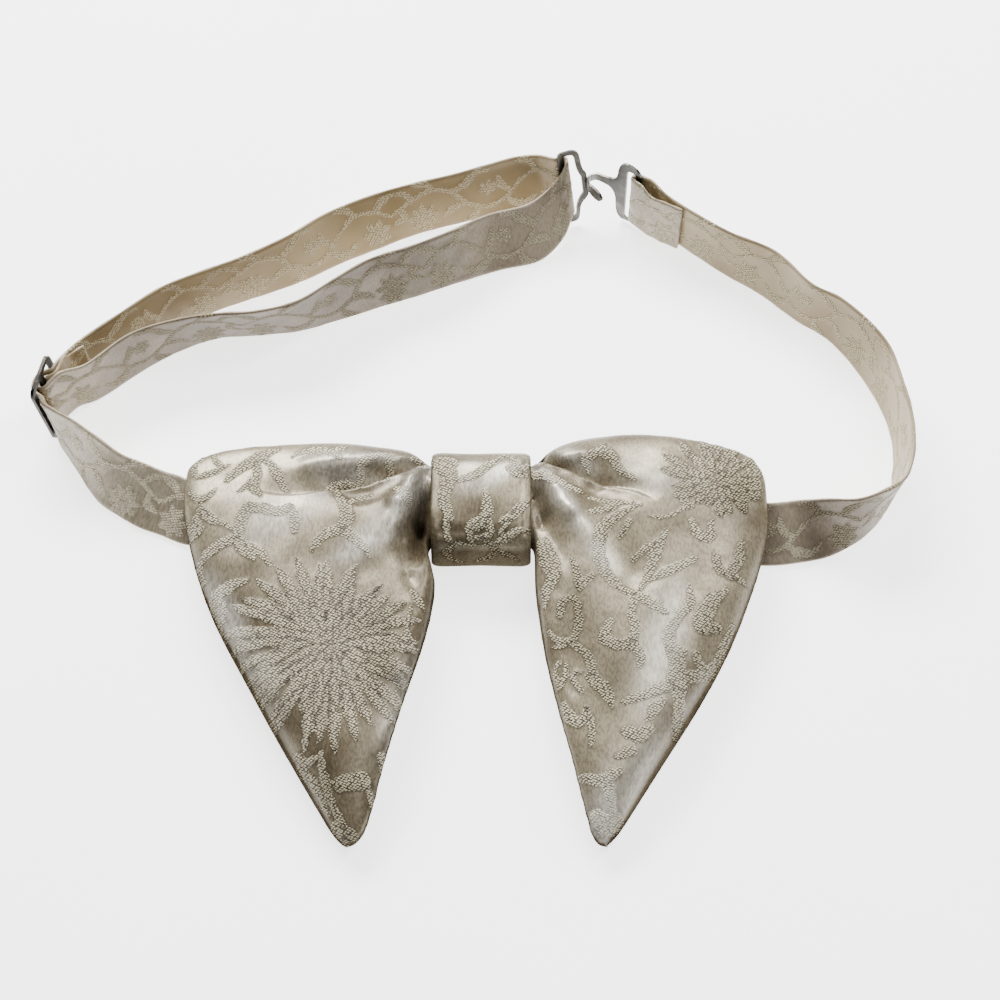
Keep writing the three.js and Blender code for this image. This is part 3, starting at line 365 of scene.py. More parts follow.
RIGHT_WING_MOTIFS = [
    [(45.3, -4.2, 0.4), (40.5, -6.3, 1), (36.1, -9.7, 1.5), (33.8, -14, 1.8), (33.4, -19.8, 1.7),
     (35, -25.7, 1.6), (38.7, -30, 1.3), (43.1, -32.6, 0.9)],
    [(42.1, -9.5, 0.9), (40.5, -12.3, 0.8), (39.1, -14.2, 0.6)],
    [(42.9, -32.7, 0.9), (42, -38.4, 1.1), (43, -43.3, 1.3), (41.8, -47.4, 1.4), (44.1, -51.4, 1.4),
     (44.3, -54.7, 0.5)],
    [(36.2, -41.3, 0.9), (34.5, -45.5, 1.7), (38.1, -48.2, 1.7), (42, -47.4, 1.3)],
    [(43.1, -32.7, 0.9), (47.4, -35.2, 1.6), (51.3, -38.5, 0.9)],
    [(43.8, -31.7, 0.5), (46.1, -28.4, 1), (47.7, -24.2, 1.4), (49.5, -18.2, 1.9), (52.6, -12.4, 0.4)],
    [(43.2, -21, 0.9), (46.2, -18.4, 0.9), (49.6, -16.7, 0.9)],
    [(46.7, -28.4, 0.5), (51.4, -25.8, 1.3), (56.7, -23.3, 1.3), (60.9, -20.8, 0.4)],
    [(30, -6.8, 0.4), (34.7, -5.5, 1.2), (39.2, -4, 0.5)],
    [(48, -8.3, 0.5), (52.7, -8.3, 0.5), (58.1, -5.2, 0.5)],
    [(31.6, -1.5, 0.7), (37.6, -2.7, 0.8), (43.8, -4.2, 0.5)],
    [(15.9, 7.6, 1.7), (21.2, 3.3, 1.6), (28.7, 0.2, 0.7)],
    [(30.9, 8.7, 0.6), (30.5, 12.9, 1.4), (36.6, 14.9, 1.4), (39.6, 9.1, 1), (44, 5, 0.7)],
    [(35.2, 17.5, 0.9), (35.9, 13.2, 0.9)],
    [(78.1, 10.9, 1.7), (78.3, 1.5, 1.4)],
    [(54, 11.4, 0.8), (59.1, 6.1, 1.3), (55.9, -0.4, 1.3), (59.5, -4.8, 0.8)],
    [(71.3, 14.1, 0.9), (75, 11.2, 1.1)],
    [(68.3, 2.9, 1.1), (73.5, 1.6, 1.6), (74.8, -4.6, 0.9)],
    [(59.4, -9, 0.5), (61.4, -13.7, 1.5), (64.4, -14.4, 1.6), (65.2, -9.7, 0.6)],
    [(58.2, -30, 0.5), (58.5, -34.7, 1.2), (54.8, -39.6, 1.2), (52.4, -44.8, 1.5), (53, -49.4, 1.7),
     (56.1, -49.8, 1.1)],
    [(53, -49.6, 1.4), (54.4, -54.4, 2.5), (54.3, -58.3, 3)],
    [(54.3, -58.3, 1.7), (46.8, -61.9, 1.5), (39.9, -64.9, 1)],
    [(54.3, -60.3, 1.7), (54.5, -65.9, 1.6), (53.2, -72.5, 0.9)],
    [(50.1, -63.9, 0.9), (47.5, -67, 1.5), (45.6, -69.8, 0.5)],
    [(57.1, -56.7, 1.4), (61.9, -54.6, 1.5), (65.2, -51.3, 1.2), (68.3, -44.4, 0.9), (70.7, -39, 0.3)],
    [(59.7, -50, 1.1), (61.2, -53.3, 1.3)],
    [(68.6, -30, 0.5), (64.7, -34, 1.9), (62.2, -38.5, 2.5), (61.4, -42.2, 1.9), (66, -41.4, 1.1)],
    [(73.7, -15, 0.6), (72.6, -20.8, 1.4), (70.3, -25, 1.2), (75, -27.4, 0.4)],
    [(65.9, -20.2, 0.9), (67.2, -24.2, 1.4), (71.8, -26.5, 0.7)],
    [(22.3, -38.9, 0.8), (22.9, -35.1, 1), (26.1, -33.8, 1), (27.4, -37.8, 1), (27.2, -42.8, 1),
     (25, -46.3, 0.9), (21.3, -45.6, 0.7), (19.2, -42.7, 0.3)],
    [(19.9, -47.7, 0.3), (25, -47.5, 0.6), (28.6, -49.3, 1), (30.7, -53.4, 1.2), (30.8, -57.2, 1.3)],
    [(30.8, -57.2, 1.7), (34.4, -61.6, 1.9), (36.5, -66.4, 0.4)],
    [(27.9, -61.2, 0.7), (25.9, -57.7, 0.7), (26.5, -55.4, 0.6), (28.2, -55.7, 0.5)],
    [(23.8, -52.8, 0.5), (23.5, -56.3, 0.6), (21.9, -59.8, 0.5), (20.8, -53.6, 0.5), (22.3, -52.1, 0.5)],
    [(23.2, -64.4, 0.9), (24.8, -68.7, 1.3), (27.6, -70.4, 1.3), (29.3, -66.5, 0.7)],
    [(29.2, -66.7, 0.9), (30.5, -71.2, 1), (30.4, -77.2, 0.5)],
    [(18, -14.9, 2), (19.5, -21.2, 2.5), (20.9, -25.6, 2), (18.6, -31, 1.4), (18.5, -34.9, 0.5)],
    [(26, -21.5, 0.5), (27.4, -27.3, 1.2), (28.3, -30.1, 1.3), (31.3, -26.7, 0.8)],
    [(39.9, -73.4, 1.4), (43.5, -74, 2.1), (46.6, -72.2, 0.9)],
    [(37.6, -80.2, 0.9), (41.4, -78.5, 1.4)],
    [(27.6, -85.2, 1.1), (33.4, -86.5, 1.7), (37.7, -84.2, 0.9)],
    [(34.8, -87.9, 1.4), (35.5, -91.8, 1.2), (36.2, -95.3, 0.9)],
    [(31.1, -95.4, 1.4), (34.7, -97.3, 2.4), (37.6, -96.1, 1.6)],
]
KNOT_MOTIFS = [
    [(-13.3, 11.3, 1.2), (-10.2, 8.2, 2.4), (-8.7, 5.7, 2.1), (-10.1, -1.7, 1.7), (-8.5, -8.2, 1.3)],
    [(-9.3, -9.1, 1.1), (-9.2, -12.5, 0.6), (-8.1, -14.1, 0.4)],
    [(-6.4, 3.9, 1), (-1.8, 5.3, 1.3), (2.8, 9.3, 1.2), (6.7, 13, 0.6)],
    [(8.1, 8.2, 1), (10.6, 6.4, 1.6), (13.8, 9.1, 0.7)],
    [(1.6, 0.3, 0.6), (2, -5.6, 1.6), (0.5, -9.7, 1.3), (-2.5, -11.1, 0.7), (-2.5, -14.3, 0.5)],
    [(2, -8, 1), (3, -12.5, 1), (-0.2, -13.1, 0.5)],
    [(5.8, -9.2, 0.5), (9.6, -7.5, 1.3), (13.5, -2.9, 0.6)],
    [(3.6, -15, 0.4), (5.8, -14.2, 0.9), (11.9, -11.4, 0.7), (13.8, -11.6, 0.4)],
    [(-12.5, 11.7, 0.9), (-8.1, 10.6, 1.4), (-7.4, 9.4, 1.1)],
    [(-2.8, -13.8, 0.5), (-3.1, -11.1, 0.7), (-0.8, -8.8, 0.8), (2.1, -9.9, 0.6)],
    [(-1.3, -13.2, 0.4), (2.4, -13.4, 0.5)],
    [(8.9, 12.6, 0.7), (10.1, 8.2, 1.3), (13.1, 5.9, 0.9)],
    [(3.6, -15, 0.3), (0.5, -15.6, 0.4), (-4, -15.3, 0.4), (-6.6, -14.4, 0.3)],
    [(10.4, -4.6, 0.5), (8.1, -9, 0.6), (5.8, -12.3, 0.6)],
]

# %% [markdown]
# The big chrysanthemum on the left wing has four rings of petals round its heart, long and slim outside and
# short inside, so it is counted out in a loop with small seeded differences. A smaller one lies at the upper
# outer corner of the right wing.

# %% Chrysanthemums
# reach: mm from the heart to the tips. longer_left, longer_down: mm added there.
BIG_CHRYSANTHEMUM = {"x": -40.6, "y": -47.5, "reach": 27.5, "longer_left": 3.6, "longer_down": 3.4,
                     "seed": 7}
SMALL_CHRYSANTHEMUM = {"x": 67.0, "y": 4.0, "reach": 15.5, "longer_left": -0.5, "longer_down": -5.0,
                       "seed": 5}
# petals: how many go round. start, end: shares of the reach. half_width in millimetres.
BIG_RINGS = [
    {"petals": 34, "start": 0.40, "end": 1.02, "half_width": 1.50},
    {"petals": 27, "start": 0.26, "end": 0.76, "half_width": 1.45},
    {"petals": 19, "start": 0.12, "end": 0.50, "half_width": 1.25},
    {"petals": 9, "start": 0.02, "end": 0.22, "half_width": 0.95},
]
SMALL_RINGS = [
    {"petals": 17, "start": 0.40, "end": 1.00, "half_width": 1.50},
    {"petals": 13, "start": 0.15, "end": 0.65, "half_width": 1.40},
    {"petals": 6, "start": 0.02, "end": 0.33, "half_width": 1.05},
]
# Share of a petal's length, and how fat it is there.
PETAL_OUTLINE = ((0.0, 0.35), (0.30, 0.90), (0.62, 1.0), (0.84, 0.55), (1.0, 0.05))
LEFT_OF_HEART = 2.9     # radians, where the petals are longest
ANGLE_ERROR = 0.035     # radians, how much a petal's direction differs
BEND_ERROR = 0.07       # radians that it bends on its way out
REACH_ERROR = 1.4       # mm


def chrysanthemum_petals(flower, rings):
    dice = np.random.default_rng(flower["seed"])
    petals = []
    for number, ring in enumerate(rings):
        for k in range(ring["petals"]):
            angle = 2 * math.pi * (k + 0.5 * (number % 2)) / ring["petals"] + dice.normal(0, ANGLE_ERROR)
            reach = (flower["reach"] + flower["longer_left"] * math.cos(angle - LEFT_OF_HEART)
                     - flower["longer_down"] * math.sin(angle) + dice.normal(0, REACH_ERROR))
            bend = dice.normal(0, BEND_ERROR)
            row = []
            for share, fatness in PETAL_OUTLINE:
                radius = reach * (ring["start"] + share * (ring["end"] - ring["start"]))
                turn = angle + bend * share
                row.append((flower["x"] + radius * math.cos(turn), flower["y"] + radius * math.sin(turn),
                            ring["half_width"] * fatness))
            petals.append((number, row))
    return petals


big_petals = chrysanthemum_petals(BIG_CHRYSANTHEMUM, BIG_RINGS)
small_petals = chrysanthemum_petals(SMALL_CHRYSANTHEMUM, SMALL_RINGS)
print("petals:", len(big_petals), len(small_petals))

# %% [markdown]
# A stroke's few places are joined by a smooth curve first. Where two petals cross, the loom leaves a thin
# dark line, so each point also keeps how far it is from the line on which two strokes are equally deep. In a
# chrysanthemum the inner rings of petals lie over the outer ones, so its rings are counted one after another.

# %% Depth in the strokes
OUTSIDE = 3.0       # mm from a stroke, beyond which nothing is measured
RIM_REACH = 1.0     # mm from the line between two strokes, beyond which it no longer matters


def curve_piece(before, start, end, after, pieces, size):
    gaps = []
    for a, b in ((before, start), (start, end), (end, after)):
        gaps.append(max(np.linalg.norm((b - a)[:size]), 1e-9) ** 0.5)
    first, middle, last = gaps
    speed_start = ((start - before) / first - (end - before) / (first + middle)
                   + (end - start) / middle) * middle
    speed_end = ((end - start) / middle - (after - start) / (middle + last) + (after - end) / last) * middle
    share = np.linspace(0, 1, pieces, endpoint=False)[:, None]
    return (start + speed_start * share
            + (-3 * start + 3 * end - 2 * speed_start - speed_end) * share ** 2
            + (2 * start - 2 * end + speed_start + speed_end) * share ** 3)


def smooth_rows(rows, pieces, size=2):
    """Extra places between the rows of a table, on a smooth curve through all of them.

    The first `size` columns are the place, and set the pace along the curve.
    """
    rows = np.asarray(rows, float)
    if len(rows) < 3:
        return rows[0] + (rows[-1] - rows[0]) * np.linspace(0, 1, pieces + 1)[:, None]
    extended = np.vstack([2 * rows[0] - rows[1], rows, 2 * rows[-1] - rows[-2]])
    result = [curve_piece(*extended[i:i + 4], pieces, size) for i in range(len(rows) - 1)]
    return np.vstack(result + [rows[-1:]])


def depth_in(points, stroke, pieces=4):
    """How many millimetres each point lies inside one stroke. Outside it is negative."""
    places = smooth_rows(stroke, pieces)
    reach = places[:, 2].max() + OUTSIDE
    low = places[:, :2].min(axis=0) - reach
    high = places[:, :2].max(axis=0) + reach
    depth = np.full(len(points), -OUTSIDE)
    near = np.all((points > low) & (points < high), axis=1)
    close = points[near]
    best = np.full(len(close), -OUTSIDE)
    for start, end in zip(places[:-1], places[1:]):
        run = end[:2] - start[:2]
        share = np.clip(((close - start[:2]) @ run) / max(run @ run, 1e-9), 0, 1)
        away = np.linalg.norm(close - start[:2] - share[:, None] * run, axis=1)
        best = np.maximum(best, start[2] + share * (end[2] - start[2]) - away)
    depth[near] = best
    return depth


def two_deepest(points, strokes):
    """How deep each point lies in its deepest stroke, and in the next one."""
    first = np.full(len(points), -OUTSIDE)
    second = np.full(len(points), -OUTSIDE)
    for stroke in strokes:
        depth = depth_in(points, stroke)
        second = np.maximum(second, np.minimum(first, depth))
        first = np.maximum(first, depth)
    return first, second


def weave_flowers(points, strokes, layered=()):
    """Depth in the flowers, and distance from the lines where strokes meet, for points in millimetres."""
    first, second = two_deepest(points, strokes)
    rim = np.minimum(first, np.clip(first - second, 0, RIM_REACH))
    rim = np.where(second > 0, rim, RIM_REACH)
    for number in sorted({ring for ring, _ in layered}):
        ring_first, ring_second = two_deepest(points, [row for ring, row in layered if ring == number])
        ring_rim = np.clip(np.minimum(ring_first - ring_second, ring_first), 0, RIM_REACH)
        rim = np.where(ring_first > 0, ring_rim, rim)
        first = np.maximum(first, ring_first)
    return first, rim


def store_numbers(piece, name, values):
    attribute = piece.data.attributes.new(name, "FLOAT", "POINT")
    attribute.data.foreach_set("value", np.asarray(values, np.float32))


def vertex_places(piece):
    places = np.empty(len(piece.data.vertices) * 3, np.float64)
    piece.data.vertices.foreach_get("co", places)
    return places.reshape(-1, 3)


def vertex_normals(piece):
    normals = np.empty(len(piece.data.vertices) * 3, np.float32)
    piece.data.vertex_normals.foreach_get("vector", normals)
    return normals.reshape(-1, 3).astype(float)


def move_vertices(piece, places):
    piece.data.vertices.foreach_set("co", np.asarray(places, np.float32).ravel())
    piece.data.update()


# %% [markdown]
# ## Padded pieces
# A wing is a pouch of brocade over wadding. Its mesh starts as a copy of the frame's solid, of which only
# the outer skin is kept. A voxel remesh gives it small even faces that fold in any direction, smoothing
# takes the facets off, and one subdivision makes it fine enough for the flowers.

# %% Outer skin of a hollow solid
MERGE_WITHIN = 2e-6     # metres, for the loose triangles of a node
THROAT_WITHIN = 2e-5    # metres from the throat's plane


def select_only(piece):
    bpy.ops.object.select_all(action="DESELECT")
    piece.select_set(True)
    bpy.context.view_layer.objects.active = piece


def apply_modifier(piece, name, kind, **settings):
    modifier = piece.modifiers.new(name, kind)
    for key, value in settings.items():
        setattr(modifier, key, value)
    select_only(piece)
    bpy.ops.object.modifier_apply(modifier=modifier.name)


def copy_of_node(node_name, piece_name):
    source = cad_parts[node_name]
    piece = bpy.data.objects.new(piece_name, source.data.copy())
    piece.data.name = piece_name
    piece.data.materials.clear()
    bpy.context.scene.collection.objects.link(piece)
    select_only(piece)
    bpy.ops.object.mode_set(mode="EDIT")
    bpy.ops.mesh.select_all(action="SELECT")
    bpy.ops.mesh.remove_doubles(threshold=MERGE_WITHIN)
    bpy.ops.object.mode_set(mode="OBJECT")
    return piece


def keep_outer_skin(piece, throat_x):
    mesh = bmesh.new()
    mesh.from_mesh(piece.data)
    rim_faces = [f for f in mesh.faces if all(abs(v.co.x - throat_x) < THROAT_WITHIN for v in f.verts)]
    bmesh.ops.delete(mesh, geom=rim_faces, context="FACES_ONLY")
    start = min(mesh.verts, key=lambda v: v.co.y)     # the wing's tip, so outside
    outer = {start}
    waiting = [start]
    while waiting:
        for edge in waiting.pop().link_edges:
            for vertex in edge.verts:
                if vertex not in outer:
                    outer.add(vertex)
                    waiting.append(vertex)
    bmesh.ops.delete(mesh, geom=[v for v in mesh.verts if v not in outer], context="VERTS")
    bmesh.ops.holes_fill(mesh, edges=[e for e in mesh.edges if e.is_boundary], sides=0)
    bmesh.ops.triangulate(mesh, faces=[f for f in mesh.faces if len(f.verts) > 4])
    bmesh.ops.recalc_face_normals(mesh, faces=mesh.faces)
    mesh.to_mesh(piece.data)
    mesh.free()


def even_skin(piece, voxel, smoothings):
    apply_modifier(piece, "even_faces", "REMESH", mode="VOXEL", voxel_size=voxel * MM, use_smooth_shade=True)
    apply_modifier(piece, "take_off_facets", "SMOOTH", factor=0.5, iterations=smoothings)
    apply_modifier(piece, "fine_faces", "SUBSURF", levels=1, render_levels=1)


print("solids to dress:", [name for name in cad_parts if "wing" in name or "knot" in name])

# %% [markdown]
# Folds are pressed in as by a thumb. A fold follows a short table of places, each with how deep the cloth
# dips above the line, how high its lip stands below the line, and how wide the dip is. Because the lip's far
# side is steep, the camera in front sees the lip lie over the hollow, as on the real bow.

# %% Folds of the wings
# Lips: x, y on the fold, depth of the dip above the line, height of the lip below it, width of the dip.
LEFT_LIP = [(-14.2, 12.9, 4.2, 1.2, 3.0), (-19.6, 9.2, 4.4, 1.9, 3.6), (-25.7, 6.2, 4.0, 2.0, 4.2),
            (-31.5, 3.9, 3.4, 1.7, 4.6), (-38.0, 2.4, 2.6, 1.3, 4.8), (-46.0, 1.1, 1.7, 0.8, 5.0),
            (-55.0, 0.0, 0.9, 0.4, 5.2), (-66.0, 0.8, 0.0, 0.0, 5.4)]
RIGHT_LIP = [(15.2, 15.0, 4.0, 1.0, 2.8), (19.8, 11.2, 4.0, 1.6, 3.4), (25.5, 7.9, 3.4, 1.7, 4.0),
             (31.0, 5.4, 2.6, 1.4, 4.4), (37.5, 3.2, 1.8, 0.9, 4.6), (44.0, 0.6, 1.0, 0.4, 4.8),
             (50.0, -3.5, 0.0, 0.0, 5.0)]
# Creases: from x, from y, to x, to y, depth at the start, depth at the end, half width. A ridge's depth is
# below nought.
LEFT_CREASES = [
    (-14.6, 5.0, -16.6, -9.0, 5.2, 4.4, 2.5), (-16.6, -9.0, -17.8, -20.0, 4.0, 1.6, 2.0),
    (-21.9, -13.0, -19.9, -26.0, 0.7, 0.6, 2.1), (-19.9, -26.0, -16.4, -35.5, 0.7, 0.2, 1.6),
    (-16.2, -4.0, -21.5, -14.0, 0.6, 0.4, 1.9), (-15.4, -11.0, -16.0, -30.0, 0.9, 0.2, 1.6),
    (-16.6, 9.2, -23.0, -3.6, -1.5, -1.5, 2.6), (-23.0, -3.6, -27.5, -16.5, -1.5, -0.6, 3.6),
    (-49.0, 10.2, -24.0, 11.6, -0.9, -0.6, 3.4), (-30.0, -4.5, -45.0, -20.0, 0.5, 0.2, 5.5),
    (-66.0, 8.0, -80.0, 3.0, 0.5, 0.2, 4.0), (-62.0, -30.0, -52.0, -58.0, 0.35, 0.3, 6.0),
]
RIGHT_CREASES = [
    (15.2, 4.5, 17.6, -8.0, 1.1, 1.2, 2.0), (17.6, -8.0, 23.2, -21.4, 1.2, 0.4, 2.6),
    (15.2, -3.0, 17.2, -22.0, 1.0, 0.3, 1.2), (17.6, 6.4, 25.5, -7.0, -1.4, -1.5, 2.6),
    (25.5, -7.0, 31.4, -16.0, -1.5, -0.5, 3.4), (19.5, 11.6, 30.0, 12.4, -0.8, -0.5, 3.0),
    (34.0, -2.0, 42.0, -26.0, 1.4, 0.9, 5.5), (42.0, -26.0, 47.0, -52.0, 1.0, 0.5, 6.0),
    (62.0, 14.0, 76.0, 8.0, 0.5, 0.2, 4.5), (30.0, -46.0, 34.0, -70.0, 0.35, 0.2, 5.0),
]


def soft_step(low, high, values):
    share = np.clip((values - low) / (high - low), 0, 1)
    return share * share * (3 - 2 * share)


DIP_SHAPE = 1.4             # how flat the floor of the hollow is
LIP_SHAPE = 1.6             # how flat the top of the lip is
LIP_WIDER = 1.15            # how much wider the lip is than the hollow
STEEP_SIDE = (-0.35, 0.55)  # mm across the line, where the lip drops into the hollow


def lip_heights(points, table):
    """Rise of the cloth at each point for a lip that lies over a hollow."""
    line = smooth_rows(table, 6)
    best = np.full(len(points), np.inf)
    rise = np.zeros(len(points))
    for start, end in zip(line[:-1], line[1:]):
        run = end[:2] - start[:2]
        length = np.linalg.norm(run)
        share = np.clip(((points - start[:2]) @ run) / length ** 2, 0, 1)
        offset = points - start[:2] - share[:, None] * run
        away = np.linalg.norm(offset, axis=1)
        above = np.sign(offset[:, 1] * abs(run[0]) - offset[:, 0] * run[1] * np.sign(run[0]))
        here = start[2:] + share[:, None] * (end - start)[2:]
        dip = -here[:, 0] * np.exp(-(away / here[:, 2]) ** DIP_SHAPE)
        lip = here[:, 1] * np.exp(-(away / (LIP_WIDER * here[:, 2])) ** LIP_SHAPE)
        edge = soft_step(*STEEP_SIDE, away * above)
        closer = away < best
        rise = np.where(closer, edge * dip + (1 - edge) * lip, rise)
        best = np.minimum(best, away)
    return rise


def crease_depths(points, creases):
    depth = np.zeros(len(points))
    for from_x, from_y, to_x, to_y, start_depth, end_depth, half_width in creases:
        start = np.array((from_x, from_y))
        run = np.array((to_x, to_y)) - start
        share = np.clip(((points - start) @ run) / (run @ run), 0, 1)
        away = np.linalg.norm(points - start - share[:, None] * run, axis=1)
        depth += (start_depth + share * (end_depth - start_depth)) * np.exp(-(away / half_width) ** 2)
    return depth


print("creases:", len(LEFT_CREASES), len(RIGHT_CREASES))

# %% [markdown]
# Cloth that is gathered into a knot also carries fine pleats that die away from the throat, and padding
# leaves the satin gently uneven. Both are sums of a few sine waves, so they are the same in every run.

# %% Pleats and padding
WAVES = 7
PLEAT_HEIGHT = 0.30     # mm
PLEATS_REACH = 9.0      # mm from the throat, where they have died down


def gentle_waves(points, size, seed):
    dice = np.random.default_rng(seed)
    total = np.zeros(len(points))
    for _ in range(WAVES):
        angle = dice.uniform(0, math.pi)
        length = size * dice.uniform(0.75, 1.5)
        phase = dice.uniform(0, 2 * math.pi)
        total += np.sin(2 * math.pi * (points @ (math.cos(angle), math.sin(angle))) / length + phase)
    return total / WAVES


def throat_pleats(points, throat_x, seed):
    """Two sizes of pleats that fan out from the throat."""
    away = np.abs(points[:, 0] - throat_x)
    fan = points[:, 1] / (14.0 + 0.55 * away)
    pleats = np.sin(2 * math.pi * 3.2 * fan + seed) + 0.6 * np.sin(2 * math.pi * 6.1 * fan + 2.0 * seed)
    return PLEAT_HEIGHT * pleats * np.exp(-np.clip(away - 2.0, 0, None) / PLEATS_REACH)


print("pleats at the throat:", throat_pleats(np.array([[0.0, 4.0], [0.0, 8.0]]), 0.0, 1).round(2))

# %% [markdown]
# ## Painted shade and painted highlights on the satin
# On the real bow the satin lies in shade where the wadding sinks a little, and shines where it swells towards
# the window. Lamps alone don't show this on a fairly smooth mesh, so soft ovals of painted shade and painted
# highlight are laid on the cloth, after the light and shade of the real bow. They are painted into its
# colour, so they stay the same under any lamp.

# %% Patches of the satin
# x, y, half length, half width, angle of the long axis in degrees, and how strong it is: painted shade in the
# shade tables, a painted highlight in the others.
LEFT_PAINTED_SHADE = [
    (-37.0, -90.0, 15.0, 8.0, 100, 0.42), (-59.0, -62.0, 20.0, 5.0, 122, 0.40),
    (-72.0, -2.0, 16.0, 5.0, 10, 0.22), (-28.0, -52.0, 18.0, 5.0, 80, 0.26),
    (-40.0, -0.5, 13.0, 2.6, 172, 0.34), (-28.0, -10.0, 11.0, 4.0, 62, 0.34),
]
RIGHT_PAINTED_SHADE = [
    (74.0, -4.0, 24.0, 9.0, 100, 0.46), (55.0, 2.0, 20.0, 5.0, 160, 0.38),
    (27.0, -38.0, 20.0, 6.0, 102, 0.46), (41.0, -16.0, 12.0, 4.5, 120, 0.26),
    (37.0, -58.0, 12.0, 6.0, 60, 0.40), (62.0, -46.0, 16.0, 4.0, 62, 0.30),
    (33.0, 12.0, 10.0, 4.0, 160, 0.34),
]
LEFT_PAINTED_HIGHLIGHTS = [
    (-21.0, -2.5, 12.0, 2.6, 62, 0.90), (-32.0, -16.5, 8.5, 3.4, 36, 0.90),
    (-34.0, 12.6, 20.0, 2.2, 178, 0.55), (-37.0, 8.0, 13.0, 3.0, 172, 0.50),
    (-57.0, -8.0, 10.0, 5.5, 30, 0.60), (-69.5, -38.0, 15.0, 3.2, 116, 0.60),
    (-60.0, -54.0, 9.0, 3.2, 118, 0.35), (-22.0, -64.0, 14.0, 3.2, 74, 0.30),
]
RIGHT_PAINTED_HIGHLIGHTS = [
    (24.5, -5.0, 13.0, 2.6, 120, 0.70), (34.0, -20.5, 7.0, 3.0, 130, 0.60),
    (50.0, -48.0, 18.0, 5.5, 78, 0.70), (59.0, -66.0, 14.0, 3.8, 58, 0.55),
    (43.5, -86.0, 16.0, 4.5, 62, 0.75), (34.0, -95.0, 9.0, 4.2, 80, 0.90),
    (27.0, 13.0, 7.0, 2.4, 140, 0.55), (50.0, 4.0, 9.0, 4.0, 160, 0.40),
]
KNOT_PAINTED_HIGHLIGHTS = [
    (5.0, 5.5, 7.5, 2.8, 34, 0.60), (-3.5, 3.0, 3.6, 2.6, 70, 0.45),
    (-2.5, 9.0, 4.0, 1.8, 10, 0.35),
]
SIDE_DARK = 0.93            # how dark the painted shade is on the sides that face the table
SIDE_TURN = (0.06, 0.90)    # upward share of the normal, between which that fades
SHEEN_TURN = (0.25, 0.75)   # upward share of the normal, between which the painted highlight begins


def soft_patches(points, patches):
    total = np.zeros(len(points))
    for x, y, half_length, half_width, degrees, strength in patches:
        turn = math.radians(degrees)
        offset = points - (x, y)
        run = offset @ (math.cos(turn), math.sin(turn)) / half_length
        side = offset @ (-math.sin(turn), math.cos(turn)) / half_width
        total = np.maximum(total, strength * np.exp(-run ** 2 - side ** 2))
    return total


def painted_side_shade(normals):
    """Painted shade on the satin where it turns down at the sides."""
    return SIDE_DARK * (1.0 - soft_step(*SIDE_TURN, normals[:, 2]))


print("patches:", len(LEFT_PAINTED_SHADE + RIGHT_PAINTED_SHADE), "dull,", len(LEFT_PAINTED_HIGHLIGHTS + RIGHT_PAINTED_HIGHLIGHTS + KNOT_PAINTED_HIGHLIGHTS), "bright")

# %% [markdown]
# ## The wings
# The folds, pleats and padding move only the cloth that faces up. The back keeps to the strap it lies on and
# to the surface below. The raised stitches stand a fifth of a millimetre proud, so the flowers also show in
# the mesh. A cloth simulation would probably round off the flat pressed front, so none is used.

# %% Make a wing
WING_VOXEL = 1.15       # mm
WING_SMOOTHINGS = 9
STITCH_HEIGHT = 0.20    # mm
STITCH_RISE = (-0.1, 0.5)       # mm inside the edge of a flower, between which the stitches rise
KNOT_HALF = 13.0        # mm from the throat that lie under the knot and stay still
TURNED_UP = (0.05, 0.55)        # upward share of the normal, between which the folds take hold
CLEAR_OF_KNOT = (1.0, 4.5)      # mm beyond the knot, between which they take hold
PADDING = {"size": 26.0, "height": 0.95}        # mm, broad unevenness of the wadding
CRUMPLE = {"size": 7.0, "height": 0.12}         # mm, fine unevenness of the satin
# The pocket beside the knot: its place, its half sizes, how dark the shade painted into its mouth is, and the
# depth at which the shade painted into a fold is full.
LEFT_POCKET = {"x": -16.6, "y": -10.5, "wide": 5.0, "long": 16.0, "dark": 0.95, "dark_depth": 36.0}
RIGHT_POCKET = {"x": 15.6, "y": -4.0, "wide": 1.8, "long": 10.0, "dark": 0.26, "dark_depth": 12.0}


def raise_stitches(piece, places, flower, where):
    height = STITCH_HEIGHT * MM * soft_step(*STITCH_RISE, flower) * where
    move_vertices(piece, places + vertex_normals(piece) * height[:, None])


def finish_padded(piece, node_name, numbers):
    """Store the numbers that the brocade reads, give the piece the brocade, hide the solid it replaces and
    attach it.
    """
    for name, values in numbers.items():
        store_numbers(piece, name, values)
    piece.data.materials.append(bow_brocade)
    piece.data.shade_smooth()
    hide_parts(node_name)
    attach(piece, "root")
    print(piece.name, "faces", len(piece.data.polygons))
    return piece


